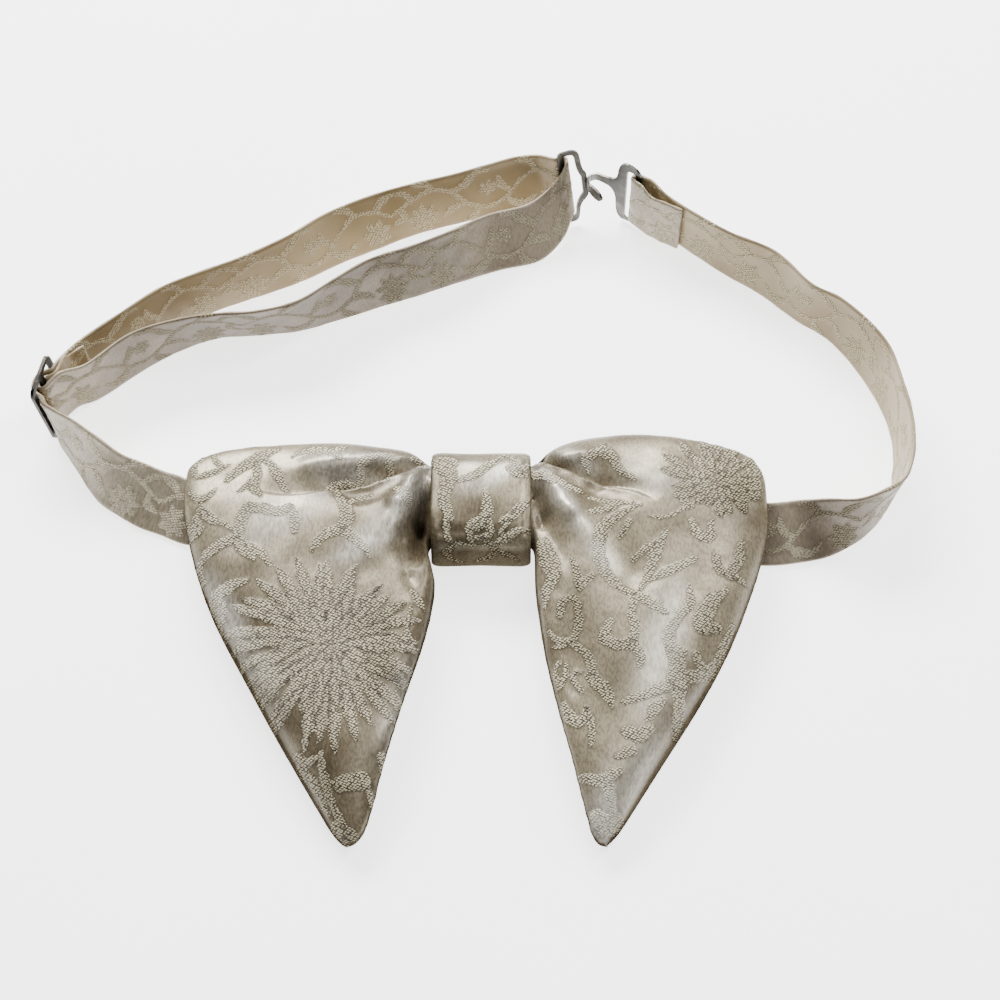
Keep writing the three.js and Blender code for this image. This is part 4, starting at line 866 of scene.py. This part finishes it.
def make_wing(node_name, piece_name, throat_x, lip, creases, pocket, painted_dark, painted_highlight, strokes, layered, seed):
    piece = copy_of_node(node_name, piece_name)
    keep_outer_skin(piece, throat_x * MM)
    even_skin(piece, WING_VOXEL, WING_SMOOTHINGS)
    places = vertex_places(piece)
    normals = vertex_normals(piece)
    flat = places[:, :2] / MM
    up = soft_step(*TURNED_UP, normals[:, 2])
    free = soft_step(*CLEAR_OF_KNOT, np.abs(flat[:, 0] - throat_x) - KNOT_HALF)
    rise = lip_heights(flat, lip) - crease_depths(flat, creases)
    # Painted shade, deeper in the hollows of the folds, on the sides that turn down, in the mouth of the
    # pocket and in the listed patches. Painted highlights in their own patches, on cloth that faces up and
    # outside the hollows.
    hollow = np.clip(-rise / pocket["dark_depth"], 0, 1) * up * free
    mouth = (((flat[:, 0] - pocket["x"]) / pocket["wide"]) ** 2
             + ((flat[:, 1] - pocket["y"]) / pocket["long"]) ** 2)
    fold = np.maximum(hollow, np.maximum(painted_side_shade(normals), pocket["dark"] * np.exp(-mouth)))
    fold = np.maximum(fold, soft_patches(flat, painted_dark))
    shine = soft_patches(flat, painted_highlight) * soft_step(*SHEEN_TURN, normals[:, 2]) * (1.0 - hollow)
    rise += throat_pleats(flat, throat_x, seed)
    rise += (PADDING["height"] * gentle_waves(flat, PADDING["size"], seed)
             + CRUMPLE["height"] * gentle_waves(flat, CRUMPLE["size"], seed + 1))
    places[:, 2] += rise * up * free * MM
    move_vertices(piece, places)
    apply_modifier(piece, "rest", "SMOOTH", factor=0.35, iterations=2)
    places = vertex_places(piece)
    flower, rim = weave_flowers(places[:, :2] / MM, strokes, layered)
    raise_stitches(piece, places, flower, np.abs(up))
    return finish_padded(piece, node_name,
                         {"flower": flower, "rim": rim, "fold": fold, "painted_highlight": shine})


left_wing = make_wing("left_wing", "left_wing_brocade", -0.2, LEFT_LIP, LEFT_CREASES, LEFT_POCKET,
                      LEFT_PAINTED_SHADE, LEFT_PAINTED_HIGHLIGHTS, LEFT_WING_MOTIFS, big_petals, 3)
right_wing = make_wing("right_wing", "right_wing_brocade", 0.8, RIGHT_LIP, RIGHT_CREASES, RIGHT_POCKET,
                       RIGHT_PAINTED_SHADE, RIGHT_PAINTED_HIGHLIGHTS, RIGHT_WING_MOTIFS, small_petals, 4)

# %% [markdown]
# ## The knot
# The knot is a band of the same brocade, wrapped round the throats and sewn behind. It is remeshed as the
# wings are, and a few soft creases show where the band is pulled tight. Its flowers are read on the cloth
# laid flat, so they go on down its front and back.

# %% Make the knot
KNOT_VOXEL = 0.8            # mm
KNOT_SMOOTHINGS = 5
KNOT_TURN_HEIGHT = 14.5     # mm, below which the band turns down and its pattern goes on down the side
KNOT_MIDDLE = 0.3           # mm, its middle in x
KNOT_FRONT = (8.5, 13.0)    # mm above the table, between which the relief of the front begins
KNOT_ENDS = (12.6, 14.4)    # mm from its middle, where its two edges turn in and painted shade darkens them
KNOT_END_DARK = 0.6
KNOT_SIDE_DARK = 0.82       # painted shade on its sides, beside that of the wings' sides
KNOT_PADDING = {"size": 11.0, "height": 0.18}       # mm
KNOT_CREASES = [
    (-13.0, 12.0, -11.0, -12.0, 0.5, 0.4, 1.6), (13.2, 13.0, 12.6, -12.0, 0.4, 0.4, 1.0),
    (-6.0, 13.5, 6.0, 12.0, 0.3, 0.3, 1.6), (-10.0, -11.5, 9.0, -12.5, 0.4, 0.3, 1.8),
    (2.0, 5.0, 2.0, 0.0, -0.5, -0.4, 6.0),
]
KNOT_SIDE_MOTIFS = [
    [(3.2, -15.0, 0.9), (4.4, -18.2, 1.5), (2.4, -21.6, 1.3), (-0.8, -24.0, 0.6)],
    [(4.4, -18.2, 0.8), (8.2, -20.6, 1.2), (10.6, -23.6, 0.5)],
    [(-7.2, -15.4, 0.7), (-9.4, -18.6, 1.2), (-8.2, -22.4, 0.8), (-4.8, -24.2, 0.4)],
]


def make_knot():
    piece = copy_of_node("knot_band", "knot_brocade")
    even_skin(piece, KNOT_VOXEL, KNOT_SMOOTHINGS)
    places = vertex_places(piece)
    flat = places[:, :2] / MM
    outside = soft_step(*KNOT_FRONT, places[:, 2] / MM)
    unevenness = KNOT_PADDING["height"] * gentle_waves(flat, KNOT_PADDING["size"], 9)
    places[:, 2] -= (crease_depths(flat, KNOT_CREASES) - unevenness) * outside * MM
    move_vertices(piece, places)
    wrapped = places[:, :2] / MM
    wrapped[:, 1] += np.sign(wrapped[:, 1]) * np.clip(KNOT_TURN_HEIGHT - places[:, 2] / MM, 0, None)
    flower, rim = weave_flowers(wrapped, KNOT_MOTIFS + KNOT_SIDE_MOTIFS)
    raise_stitches(piece, places, flower, outside)
    # Painted shade at the band's two ends and on its sides, and painted highlights on its front.
    ends = soft_step(*KNOT_ENDS, np.abs(flat[:, 0] - KNOT_MIDDLE))
    fold = np.maximum(KNOT_SIDE_DARK * painted_side_shade(vertex_normals(piece)), KNOT_END_DARK * ends)
    shine = soft_patches(flat, KNOT_PAINTED_HIGHLIGHTS) * outside
    return finish_padded(piece, "knot_band",
                         {"flower": flower, "rim": rim, "fold": fold, "painted_highlight": shine})


knot = make_knot()

# %% [markdown]
# ## The straps
# A strap is a flat tube of brocade ribbon, pressed and turned at its edges. It can't be simulated well,
# because it is thin, so it is swept along the same tables as its solid: the place of its lower edge and how
# its width leans. Where it passes a metal fitting, its places are given in the fitting's own plane.

# %% Strap tables, in millimetres
# (x, y, z, lean x, lean y): the lower edge, and how far the upper edge lies from it.
LEFT_STRAP_TO_SLIDER = [
    (-0.5, -8.9, 3.3, 0, 18.2), (-13, -8.9, 3.3, 0, 18.2), (-22, -8.5, 1.4, 0, 18.2),
    (-32, -8.3, 0.6, 0, 18.2), (-46, -7.9, 0.6, 0, 18.15), (-60, -7.6, 0.6, 0.4, 18),
    (-72, -7.6, 0.6, 1.8, 17), (-84.2, -7.5, 0.5, 4.2, 15), (-92.2, -4.2, 0.5, 5.9, 15),
    (-98.1, -1.9, 0.5, 7, 13.6), (-104.1, 1.8, 0.5, 7.6, 11.2), (-110.2, 6.5, 0.4, 7.4, 8.2),
    (-115.9, 15, 0.3, 5.4, 4.6), (-119.8, 21.2, 0.5, 3, 2.6), (-122.5, 25.6, 1.2, -0.4, 1.4),
]
FAR_LAYER = [
    (-114.8, 48.5, 0.8, -2.4, 2.4), (-103.8, 58.6, 0.3, -2, 2.5), (-92.9, 67.3, 0.3, -1.8, 2.7),
    (-81.9, 72.7, 0.3, -1.3, 3.1), (-70, 77.7, 0.3, -1.3, 3.4), (-55.1, 83.9, 0.3, -2.7, 5.5),
    (-43.1, 90.6, 0.3, -4, 7.6), (-31, 96.5, 0.3, -4, 8), (-18.9, 102.1, 0.3, -2.6, 6.6),
    (-6.6, 105.9, 0.4, -1.9, 6.3), (5, 109.2, 0.8, -1.9, 7), (13, 110.8, 1.4, -2.2, 7.8),
    (19.6, 110.4, 2.4, -2.3, 8.2),
]
FRONT_LAYER = [
    (25.8, 100.4, 2, -2.6, 11), (18.6, 92.2, 0.4, -3.4, 12.9), (5.7, 88.3, 0.3, -3.1, 11.6),
    (-6.5, 83.9, 0.3, -2.7, 8), (-18.5, 79.2, 0.3, -2.3, 6.8), (-30.6, 74.8, 0.3, -2.3, 6.4),
    (-42.5, 70.4, 0.3, -1, 2.5), (-54.4, 66.5, 0.3, 0.4, -1.5), (-66.4, 65, 0.3, 0.2, -3.5),
    (-78.3, 64, 0.3, 0.6, -3.4), (-90.1, 59.3, 0.3, 0.6, -0.9), (-101.6, 51.5, 0.3, -1.2, 1.9),
    (-112.8, 42.4, 0.3, -2.2, 0.4),
]
SEWN_TAIL = [
    (-117.6, 43.9, 1, -2.6, 1.8), (-113.4, 47.2, 0.7, -2.4, 2.2),
]
RIGHT_STRAP = [
    (1.1, -8.9, 3.3, 0, 18.2), (13.6, -8.9, 3.3, 0, 18.2), (22, -8.9, 1.4, 0, 18.2),
    (32, -9.3, 0.6, 0, 18.2), (46, -10.2, 0.6, 0, 18.15), (60, -11.7, 0.6, 0, 18),
    (71, -13.2, 0.6, -0.2, 17), (82.3, -14.3, 0.5, -0.7, 15.8), (91.6, -13.3, 0.5, -2, 15),
    (100.3, -11.1, 0.4, -4.4, 11.4), (109.2, -5.5, 0.3, -2.6, 3.4), (114.8, 0.8, 0.3, 0.4, 0),
    (118.6, 7.5, 0.3, 2.4, -2.4), (120.2, 15, 0.3, 3.6, -2.2), (120.9, 22, 0.3, 3.7, -1),
    (120.8, 28.1, 0.3, 3.4, 0), (119.5, 35, 0.3, 3.3, 0.8), (113.7, 49, 0.3, 5.1, 2.6),
    (104.1, 63.2, 0.3, 2.7, 2.8), (96, 69.2, 0.3, 2.2, 2), (84.5, 79.5, 0.3, 3.2, 4.1),
    (72.7, 88, 0.3, 2, 1.8), (61.6, 97.3, 0.3, 0.8, 0.9), (55.2, 102.3, 0.5, 0.8, 1.2),
]
SEWN_FLAP = [
    (50.6, 101.7, 0.8, 0.6, 0.8), (54.2, 99.6, 0.3, 0.6, 1.4), (60, 96.6, 0.3, 0.6, 1.4),
]
THROUGH_SLIDER = [
    (-6.4, -1.45), (-5, -1.3), (-4.3, -0.1), (-3.7, 1.15), (-2.2, 2.5), (0, 2.95), (2.2, 2.5),
    (3.7, 1.15), (4.3, -0.1), (5, -1.3), (6.4, -1.45),
]
ROUND_MIDDLE_BAR = [
    (4, -4.2), (1.8, -2.6), (0, -1.65), (-1.3, -1.2), (-1.9, 0), (-1.3, 1.15), (0, 1.4), (1.3, 1.15),
    (1.9, 0), (2.4, -1.15), (3.9, -2.6), (6.4, -3.1), (9.6, -3.5),
]
ROUND_EYE_BAR = [
    (-1.3, 1.45), (0.7, 1.4), (1.65, 1), (1.9, 0), (1.7, -1.2), (1.2, -2.6),
]
ROUND_HOOK_BAR = [
    (-3.4, 1.35), (-1, 1.4), (0.7, 1.4), (1.65, 1), (1.9, 0), (1.65, -1), (0.7, -1.5), (-0.4, -1.8),
    (-2.2, -2.3),
]
STRAP_WIDTH = 18.2
STRAP_THICKNESS = 1.1
REST_HEIGHT = 0.05      # mm that the strap's edge stays above the table
# How far the strap's lower edge lies below the middle of each bar.
STRAP_BELOW_SLIDER = 10.1
STRAP_BELOW_EYE = 8.1
STRAP_BELOW_HOOK = 10.1


def fitting_frame(centre, along, axis, flip=1.0):
    along = np.array(along, float) / np.linalg.norm(along)
    axis = np.array(axis, float) / np.linalg.norm(axis)
    axis = axis - along * (axis @ along)
    axis /= np.linalg.norm(axis)
    return {"centre": np.array(centre), "along": along, "axis": axis, "out": flip * np.cross(axis, along)}


SLIDER = fitting_frame((-125.0, 35.4, 12.2), (0.226, 0.974, 0), (-0.17, 0.04, 0.984))
EYE = fitting_frame((25.2, 110.7, 12.1), (0.957, 0.29, 0), (-0.127, 0.42, 0.898))
HOOK = fitting_frame((47.6, 107.1, 12.3), (-0.85, 0.53, -0.07), (0.03, 0.16, 0.98), -1.0)


def strap_row(x, y, z, lean_x, lean_y):
    height = math.sqrt(max(0.0, STRAP_WIDTH ** 2 - lean_x ** 2 - lean_y ** 2))
    return (x, y, z, x + lean_x, y + lean_y, z + height)


def rows_on_fitting(fitting, below, places):
    rows = []
    for along, out in places:
        foot = fitting["centre"] + along * fitting["along"] + out * fitting["out"] - below * fitting["axis"]
        rows.append(strap_row(*foot, *(fitting["axis"][:2] * STRAP_WIDTH)))
    return rows


def rows_from(table):
    return [strap_row(*row) for row in table]


left_strap_rows = (rows_from(LEFT_STRAP_TO_SLIDER)
                   + rows_on_fitting(SLIDER, STRAP_BELOW_SLIDER, THROUGH_SLIDER)
                   + rows_from(FAR_LAYER) + rows_on_fitting(EYE, STRAP_BELOW_EYE, ROUND_EYE_BAR)
                   + rows_from(FRONT_LAYER) + rows_on_fitting(SLIDER, STRAP_BELOW_SLIDER, ROUND_MIDDLE_BAR)
                   + rows_from(SEWN_TAIL))
right_strap_rows = (rows_from(RIGHT_STRAP) + rows_on_fitting(HOOK, STRAP_BELOW_HOOK, ROUND_HOOK_BAR)
                    + rows_from(SEWN_FLAP))
print("strap rows:", len(left_strap_rows), len(right_strap_rows))

# %% [markdown]
# The ribbon's own pattern repeats along it, so its flowers are drawn once in the ribbon's flat plane, as
# (distance along, distance across, half width), and every repeat is a little further along.

# %% Flowers of the ribbon
RIBBON_REPEAT = 58.0
RIBBON_VINES = [
    [(-3, 9, 0.5), (4, 12.5, 0.7), (11, 14.5, 0.7), (17, 12, 0.7), (21, 7, 0.7), (27, 4, 0.7), (33, 5.5, 0.6),
     (38, 10, 0.6), (44, 13.5, 0.6), (50, 12.5, 0.6), (55, 9, 0.5)],
    [(11, 14.5, 0.5), (9, 17, 1.0), (5, 17.6, 0.5)],
    [(17, 12, 0.5), (21, 14, 1.3), (25, 16.8, 0.9), (29, 16.5, 0.4)],
    [(21, 7, 0.5), (16.5, 6.5, 1.2), (13.5, 4.5, 0.4)],
    [(24, 5, 0.5), (23, 2, 1.2), (19.5, 0.5, 0.5)],
    [(33, 5.5, 0.5), (36, 3.2, 1.3), (40, 2.8, 1.0), (42.5, 5, 0.4)],
    [(35, 7.5, 0.5), (32, 10.5, 1.2), (31.5, 13.5, 0.4)],
    [(44, 13.5, 0.5), (42, 16.5, 1.1), (38, 17, 0.4)],
    [(50, 12.5, 0.5), (53, 15, 1.3), (57, 16.5, 0.4)],
    [(4, 12.5, 0.5), (2, 15.5, 1.0), (-1, 16, 0.4)],
    [(1, 11, 0.5), (0.5, 7.5, 1.1), (-2.5, 6, 0.4)],
]
# Blossoms: x, y of the heart, how many petals, their length, their half width.
RIBBON_BLOSSOMS = [(7.2, 5.2, 9, 5.0, 1.0), (49.5, 5.0, 7, 4.4, 1.15), (28.0, 10.6, 6, 2.6, 0.8)]
BLOSSOM_OUTLINE = ((0.15, 0.4), (0.6, 1.0), (1.0, 0.35))      # as a petal's outline above


def blossom_petals(heart_x, heart_y, petals, reach, half_width):
    rows = []
    for k in range(petals):
        angle = 2 * math.pi * (k + 0.3) / petals
        rows.append([(heart_x + share * reach * math.cos(angle), heart_y + share * reach * math.sin(angle),
                      fatness * half_width) for share, fatness in BLOSSOM_OUTLINE])
    return rows


RIBBON_MOTIFS = RIBBON_VINES + [row for blossom in RIBBON_BLOSSOMS for row in blossom_petals(*blossom)]
# The same flowers in the repeats before and after reach over its ends.
REPEATED_MOTIFS = [[(x + turn * RIBBON_REPEAT, y, half_width) for x, y, half_width in stroke]
                   for stroke in RIBBON_MOTIFS for turn in (-1, 0, 1)]


def ribbon_flowers(along, across, shift):
    flat = np.stack([(along + shift) % RIBBON_REPEAT, across], axis=1)
    first, second = two_deepest(flat, REPEATED_MOTIFS)
    return first, np.where(second > 0, np.clip(first - second, 0, RIM_REACH), RIM_REACH)


print("strokes in one repeat of the ribbon:", len(RIBBON_MOTIFS))

# %% [markdown]
# The ribbon's cross-section has two faces and two rounded edges, where the brocade is turned over. The edges
# are a little thicker than the middle, which gives the pale line of light along them. Small waves across the
# ribbon show how it has been worn, and its sewn end is puckered by a row of stitches. A flat strip could be
# bent along a curve by a modifier, but that twists it, so its sections are placed one by one.

# %% Section and path of a ribbon
PATH_PIECES = 16        # places worked out between two rows of a strap's table
RIBBON_STEP = 0.75      # mm between two sections
RIBBON_COLUMNS = 26     # faces across one side
RIBBON_EDGE = 0.028     # share of the width that is rounded at each edge
SEAM_FROM_END = 1.8     # mm, where the row of stitches crosses the sewn end
SEAM_DEPTH = 0.16       # mm
SEAM_HALF_WIDTH = 0.35  # mm
STITCH_LENGTH = 1.4     # mm of the sewing stitches
PUCKERED_END = 13.0     # mm of ribbon that the stitches pull into small puckers
PUCKER_HEIGHT = 0.15    # mm
PUCKER_PITCH = 4.6      # mm from one to the next


def ribbon_profile():
    """(across from 0 to 1, height in half thicknesses, side 0 or 1) round the section."""
    columns = RIBBON_EDGE + np.linspace(0, 1, RIBBON_COLUMNS + 1) * (1 - 2 * RIBBON_EDGE)
    front = [(c, 1.0, 0.0) for c in columns]
    back = [(c, -1.0, 1.0) for c in columns[::-1]]
    far_edge = [(1 - RIBBON_EDGE + RIBBON_EDGE * math.cos(a), math.sin(a), 0.5 - 0.5 * math.sin(a))
                for a in (0.9, 0.0, -0.9)]
    near_edge = [(RIBBON_EDGE - RIBBON_EDGE * math.cos(a), math.sin(a), 0.5 - 0.5 * math.sin(a))
                 for a in (-0.9, 0.0, 0.9)]
    return np.array(front + far_edge + back + near_edge)


def unit(vectors):
    return vectors / np.linalg.norm(vectors, axis=-1, keepdims=True)


def at_steps(line, travel, steps):
    return np.stack([np.interp(steps, travel, line[:, k]) for k in range(3)], axis=1)


def centre_lines(rows):
    """Lower and upper edge of the strap at even steps, and the distance along its middle."""
    rows = np.array(rows)
    foot = smooth_rows(rows[:, :3], PATH_PIECES, size=3)
    top = smooth_rows(rows[:, 3:], PATH_PIECES, size=3)
    lengths = np.linalg.norm(np.diff((foot + top) / 2, axis=0), axis=1)
    travel = np.concatenate([[0], np.cumsum(lengths)])
    steps = np.linspace(0, travel[-1], int(travel[-1] / RIBBON_STEP) + 1)
    return at_steps(foot, travel, steps), at_steps(top, travel, steps), steps


def sewn_end(from_end, over):
    """Rise of the cloth, in millimetres, where the end of a ribbon is sewn down."""
    stitches = 0.6 + 0.4 * np.sin(over * 2 * math.pi / STITCH_LENGTH)
    seam = -SEAM_DEPTH * np.exp(-((from_end - SEAM_FROM_END) / SEAM_HALF_WIDTH) ** 2) * stitches
    puckers = PUCKER_HEIGHT * np.sin(2 * math.pi * from_end / PUCKER_PITCH + 0.9 * np.sin(over / 3.4))
    return seam + puckers * (1.0 - soft_step(0.6 * PUCKERED_END, PUCKERED_END, from_end))


def worn_ripple(along, over):
    """Rise of the cloth, in millimetres, from being worn: a long wave and a short one, both a little bent."""
    return 0.05 * np.sin(along / 2.9 + 1.3 * np.sin(over / 5.0)) + 0.04 * np.sin(along / 1.3 + over * 0.7)


print("section of the ribbon:", len(ribbon_profile()), "points")

# %% [markdown]
# The straps lie on edge, so each catches the light on some lengths and lies in shade on others. As on the
# wings, this is painted into the cloth's colour, here as a table of painted shade and painted highlights
# along each strap.

# %% Make a strap
# Distance along in mm, and there how strong the painted shade and the painted highlight are.
LEFT_STRAP_PAINTED_LIGHT = [
    (0, 0.0, 0.0), (74, 0.05, 0.0), (92, 0.0, 0.60), (124, 0.0, 0.62), (140, 0.0, 0.0), (180, 0.08, 0.0),
    (300, 0.06, 0.06), (332, 0.0, 0.18), (368, 0.04, 0.12), (392, 0.14, 0.0), (470, 0.14, 0.0),
    (500, 0.0, 0.14), (527, 0.0, 0.0),
]
RIGHT_STRAP_PAINTED_LIGHT = [
    (0, 0.0, 0.0), (79, 0.50, 0.0), (84, 0.10, 0.10), (89, 0.0, 0.46), (95, 0.16, 0.0), (108, 0.22, 0.0),
    (117, 0.04, 0.20), (126, 0.04, 0.0), (246, 0.10, 0.0), (258, 0.0, 0.50), (282, 0.0, 0.50),
]
HEM_PLACE = 0.05            # share of the width, the middle of each thicker edge
HEM_HALF_WIDTH = 0.035      # share of the width
HEM_SWELL = 0.22            # share of the thickness added there
PRESSED = 0.86              # share of the thickness left in the middle
EDGE_ROOM = 0.05            # mm kept free at each edge
RIBBON_STITCH_HEIGHT = 0.10     # mm
RIBBON_STITCH_RISE = (-0.1, 0.4)    # mm inside the edge of a flower, between which its stitches rise
TABLE_ROOM = 0.02           # mm above the table, below which nothing goes


def ribbon_faces(sections, count):
    faces = []
    for i in range(sections - 1):
        for k in range(count):
            here, beside = i * count + k, i * count + (k + 1) % count
            faces.append((here, beside, beside + count, here + count))
    faces.append(tuple(range(count - 1, -1, -1)))
    faces.append(tuple((sections - 1) * count + k for k in range(count)))
    return faces


def make_outward(piece):
    mesh = bmesh.new()
    mesh.from_mesh(piece.data)
    bmesh.ops.recalc_face_normals(mesh, faces=mesh.faces)
    if mesh.calc_volume(signed=True) < 0:
        bmesh.ops.reverse_faces(mesh, faces=mesh.faces)
    mesh.to_mesh(piece.data)
    mesh.free()


def lay_uv(mesh, along, over):
    """The ribbon laid flat, in metres."""
    uv_map = mesh.uv_layers.new(name="along")
    corners = np.empty(len(mesh.loops), np.int32)
    mesh.loops.foreach_get("vertex_index", corners)
    flat = np.stack([along, over], axis=1)[corners] * MM
    uv_map.data.foreach_set("uv", flat.astype(np.float32).ravel())


def make_strap(node_name, piece_name, rows, outward, shift, painted_light):
    foot, top, steps = centre_lines(rows)
    across = unit(top - foot)
    ahead = unit(np.gradient((foot + top) / 2, axis=0))
    side = unit(np.cross(ahead, across)) * outward
    profile = ribbon_profile()
    count = len(profile)
    share = profile[:, 0]
    hem = sum(np.exp(-((share - place) / HEM_HALF_WIDTH) ** 2) for place in (HEM_PLACE, 1 - HEM_PLACE))
    half_thickness = PRESSED * (1.0 + HEM_SWELL * hem) * STRAP_THICKNESS / 2
    reach = EDGE_ROOM + share * (STRAP_WIDTH - 2 * EDGE_ROOM)
    grid = (foot[:, None] + across[:, None] * reach[None, :, None]
            + side[:, None] * (profile[:, 1] * half_thickness)[None, :, None])
    lowest = grid[:, :, 2].min(axis=1)
    grid[:, :, 2] += np.clip(REST_HEIGHT - lowest, 0, None)[:, None]
    along = np.repeat(steps, count)
    over = np.tile(share * STRAP_WIDTH, len(steps))
    flower, rim = ribbon_flowers(along, over, shift)
    ripple = worn_ripple(along, over) + sewn_end(steps[-1] - along, over)
    lift = RIBBON_STITCH_HEIGHT * soft_step(*RIBBON_STITCH_RISE, flower) + ripple
    lift *= np.tile(profile[:, 1], len(steps))
    vertices = grid.reshape(-1, 3) + np.repeat(side, count, axis=0) * lift[:, None]
    vertices[:, 2] = np.clip(vertices[:, 2], TABLE_ROOM, None)
    mesh = bpy.data.meshes.new(piece_name)
    mesh.from_pydata((vertices * MM).tolist(), [], ribbon_faces(len(steps), count))
    piece = bpy.data.objects.new(piece_name, mesh)
    bpy.context.scene.collection.objects.link(piece)
    lay_uv(mesh, along, over)
    make_outward(piece)
    # Painted shade and painted highlights along the strap, from its table.
    distances, painted_dark, bright = np.array(painted_light).T
    numbers = {"flower": flower, "rim": rim, "reverse": np.tile(profile[:, 2], len(steps)),
               "fold": np.interp(along, distances, painted_dark), "painted_highlight": np.interp(along, distances, bright)}
    for name, values in numbers.items():
        store_numbers(piece, name, values)
    mesh.materials.append(strap_brocade)
    mesh.shade_smooth()
    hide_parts(node_name)
    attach(piece, "root")
    print(piece_name, "length", round(float(steps[-1]), 1), "mm, faces", len(mesh.polygons))
    return piece


# outward: -1 where the right side of the cloth is on the other side of the path.
left_strap = make_strap("left_strap", "left_strap_ribbon", left_strap_rows, -1.0, 20.0, LEFT_STRAP_PAINTED_LIGHT)
right_strap = make_strap("right_strap", "right_strap_ribbon", right_strap_rows, 1.0, 4.0, RIGHT_STRAP_PAINTED_LIGHT)

# %% [markdown]
# ## The metal
# The hook and the eye are stamped from steel sheet and nickel plated, and the slider is dark plated. Plated
# steel is smooth with fine scuffs, and its edges are rounded by tumbling. The solids already have the stamped
# shapes, so no new meshes are made, and the nodes get a small bevel, which catches the light.

# %% Metal finishes
SCUFF_SIZE = 1 / 900        # metres, fine scuffs from tumbling
CLOUD_SIZE = 1 / 160        # metres, places where the plating is worn
SCUFF_ROUGHNESS = 0.18
SCUFF_RELIEF = 0.00003      # metres
EDGE_ROUNDING = 0.16        # mm
SHARP_EDGE = 40             # degrees, from which an edge is rounded


def plated_steel(name, colour, worn_colour, roughness):
    material, tree, node = new_material(name)
    place = node("TexCoord", output="Object")
    scuffs = node("TexNoise", {"Vector": place, "Scale": 1 / SCUFF_SIZE, "Detail": 4.0})
    clouds = node("TexNoise", {"Vector": place, "Scale": 1 / CLOUD_SIZE, "Detail": 2.0})
    worn = node("MapRange", {"Value": clouds, "From Min": 0.42, "From Max": 0.68}, **SMOOTH)
    connect(tree, tree.nodes["Principled BSDF"], {
        "Base Color": node("Mix", {FACTOR: worn, FIRST: colour, SECOND: worn_colour}, MIXED,
                           data_type="RGBA"),
        "Roughness": node("Math", {0: scuffs, 1: SCUFF_ROUGHNESS, 2: roughness}, operation="MULTIPLY_ADD"),
        "Metallic": 1.0,
        "Normal": node("Bump", {"Height": scuffs, "Distance": SCUFF_RELIEF, "Strength": 0.5}),
    })
    return material


nickel = plated_steel("nickel_plated_steel", linear("4d4c49"), linear("696762"), 0.22)
gunmetal = plated_steel("black_nickel_plated_steel", linear("1c1a19"), linear("383633"), 0.26)
for node_name, material in (("slider", gunmetal), ("eye_ring", nickel), ("hook_plate", nickel)):
    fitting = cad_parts[node_name]
    fitting.data.materials.clear()
    fitting.data.materials.append(material)
    weld = fitting.modifiers.new("weld", "WELD")
    weld.merge_threshold = MERGE_WITHIN
    bevel = fitting.modifiers.new("tumbled_edges", "BEVEL")
    bevel.width = EDGE_ROUNDING * MM
    bevel.segments = 2
    bevel.limit_method = "ANGLE"
    bevel.angle_limit = math.radians(SHARP_EDGE)
print("metal finishes:", nickel.name, gunmetal.name)

# %% [markdown]
# ## The surface and the light
# The tie lies on a glowing white table, like the light table of a product photographer, which leaves only a
# faint shadow. A broad window behind it on the left makes the soft bands in the satin, a weak light overhead
# and a narrow strip at the right give the small highlights, and a faint white world fills the rest.

# %% Floor, lights and surroundings
LIGHT_TABLE_GLOW = 2.6
WORLD_GLOW = 0.13
TABLE_SIZE = 6.0        # metres, far past what any view shows


def glowing_white(name, colour):
    material, tree, node = new_material(name)
    place = node("TexCoord", output="Object")
    grain = node("TexNoise", {"Vector": place, "Scale": 14.0})
    connect(tree, tree.nodes["Principled BSDF"], {
        "Base Color": node("Mix", {FACTOR: grain, FIRST: colour, SECOND: linear("ffffff")}, MIXED,
                           data_type="RGBA"),
        "Roughness": 0.8,
        "Emission Color": linear("ffffff"),
        "Emission Strength": LIGHT_TABLE_GLOW,
    })
    return material


bpy.ops.object.select_all(action="DESELECT")
bpy.ops.mesh.primitive_plane_add(size=TABLE_SIZE, location=(0, 0, 0))
floor = bpy.context.object
floor.name = "table_top"
floor.data.materials.append(glowing_white("matt_white_table", linear("f4f4f4")))


def soft_light(name, place, size, power):
    """A rectangle of light that looks at the middle of the tie."""
    data = bpy.data.lights.new(name, "AREA")
    data.shape = "RECTANGLE"
    data.size, data.size_y = size
    data.energy = power
    lamp = bpy.data.objects.new(name, data)
    lamp.location = place
    lamp.rotation_euler = (-Vector(place)).to_track_quat("-Z", "Y").to_euler()
    bpy.context.scene.collection.objects.link(lamp)


soft_light("window", (-0.30, 0.95, 0.70), (0.9, 0.35), 42.0)
soft_light("overhead", (0.30, -0.05, 1.30), (0.45, 0.45), 5.5)
soft_light("side_strip", (0.62, 0.50, 0.80), (0.16, 0.6), 9.0)
world = bpy.data.worlds.new("studio")
world.use_nodes = True
connect(world.node_tree, world.node_tree.nodes["Background"], {"Color": (1.0, 1.0, 1.0, 1.0),
                                                               "Strength": WORLD_GLOW})
bpy.context.scene.world = world
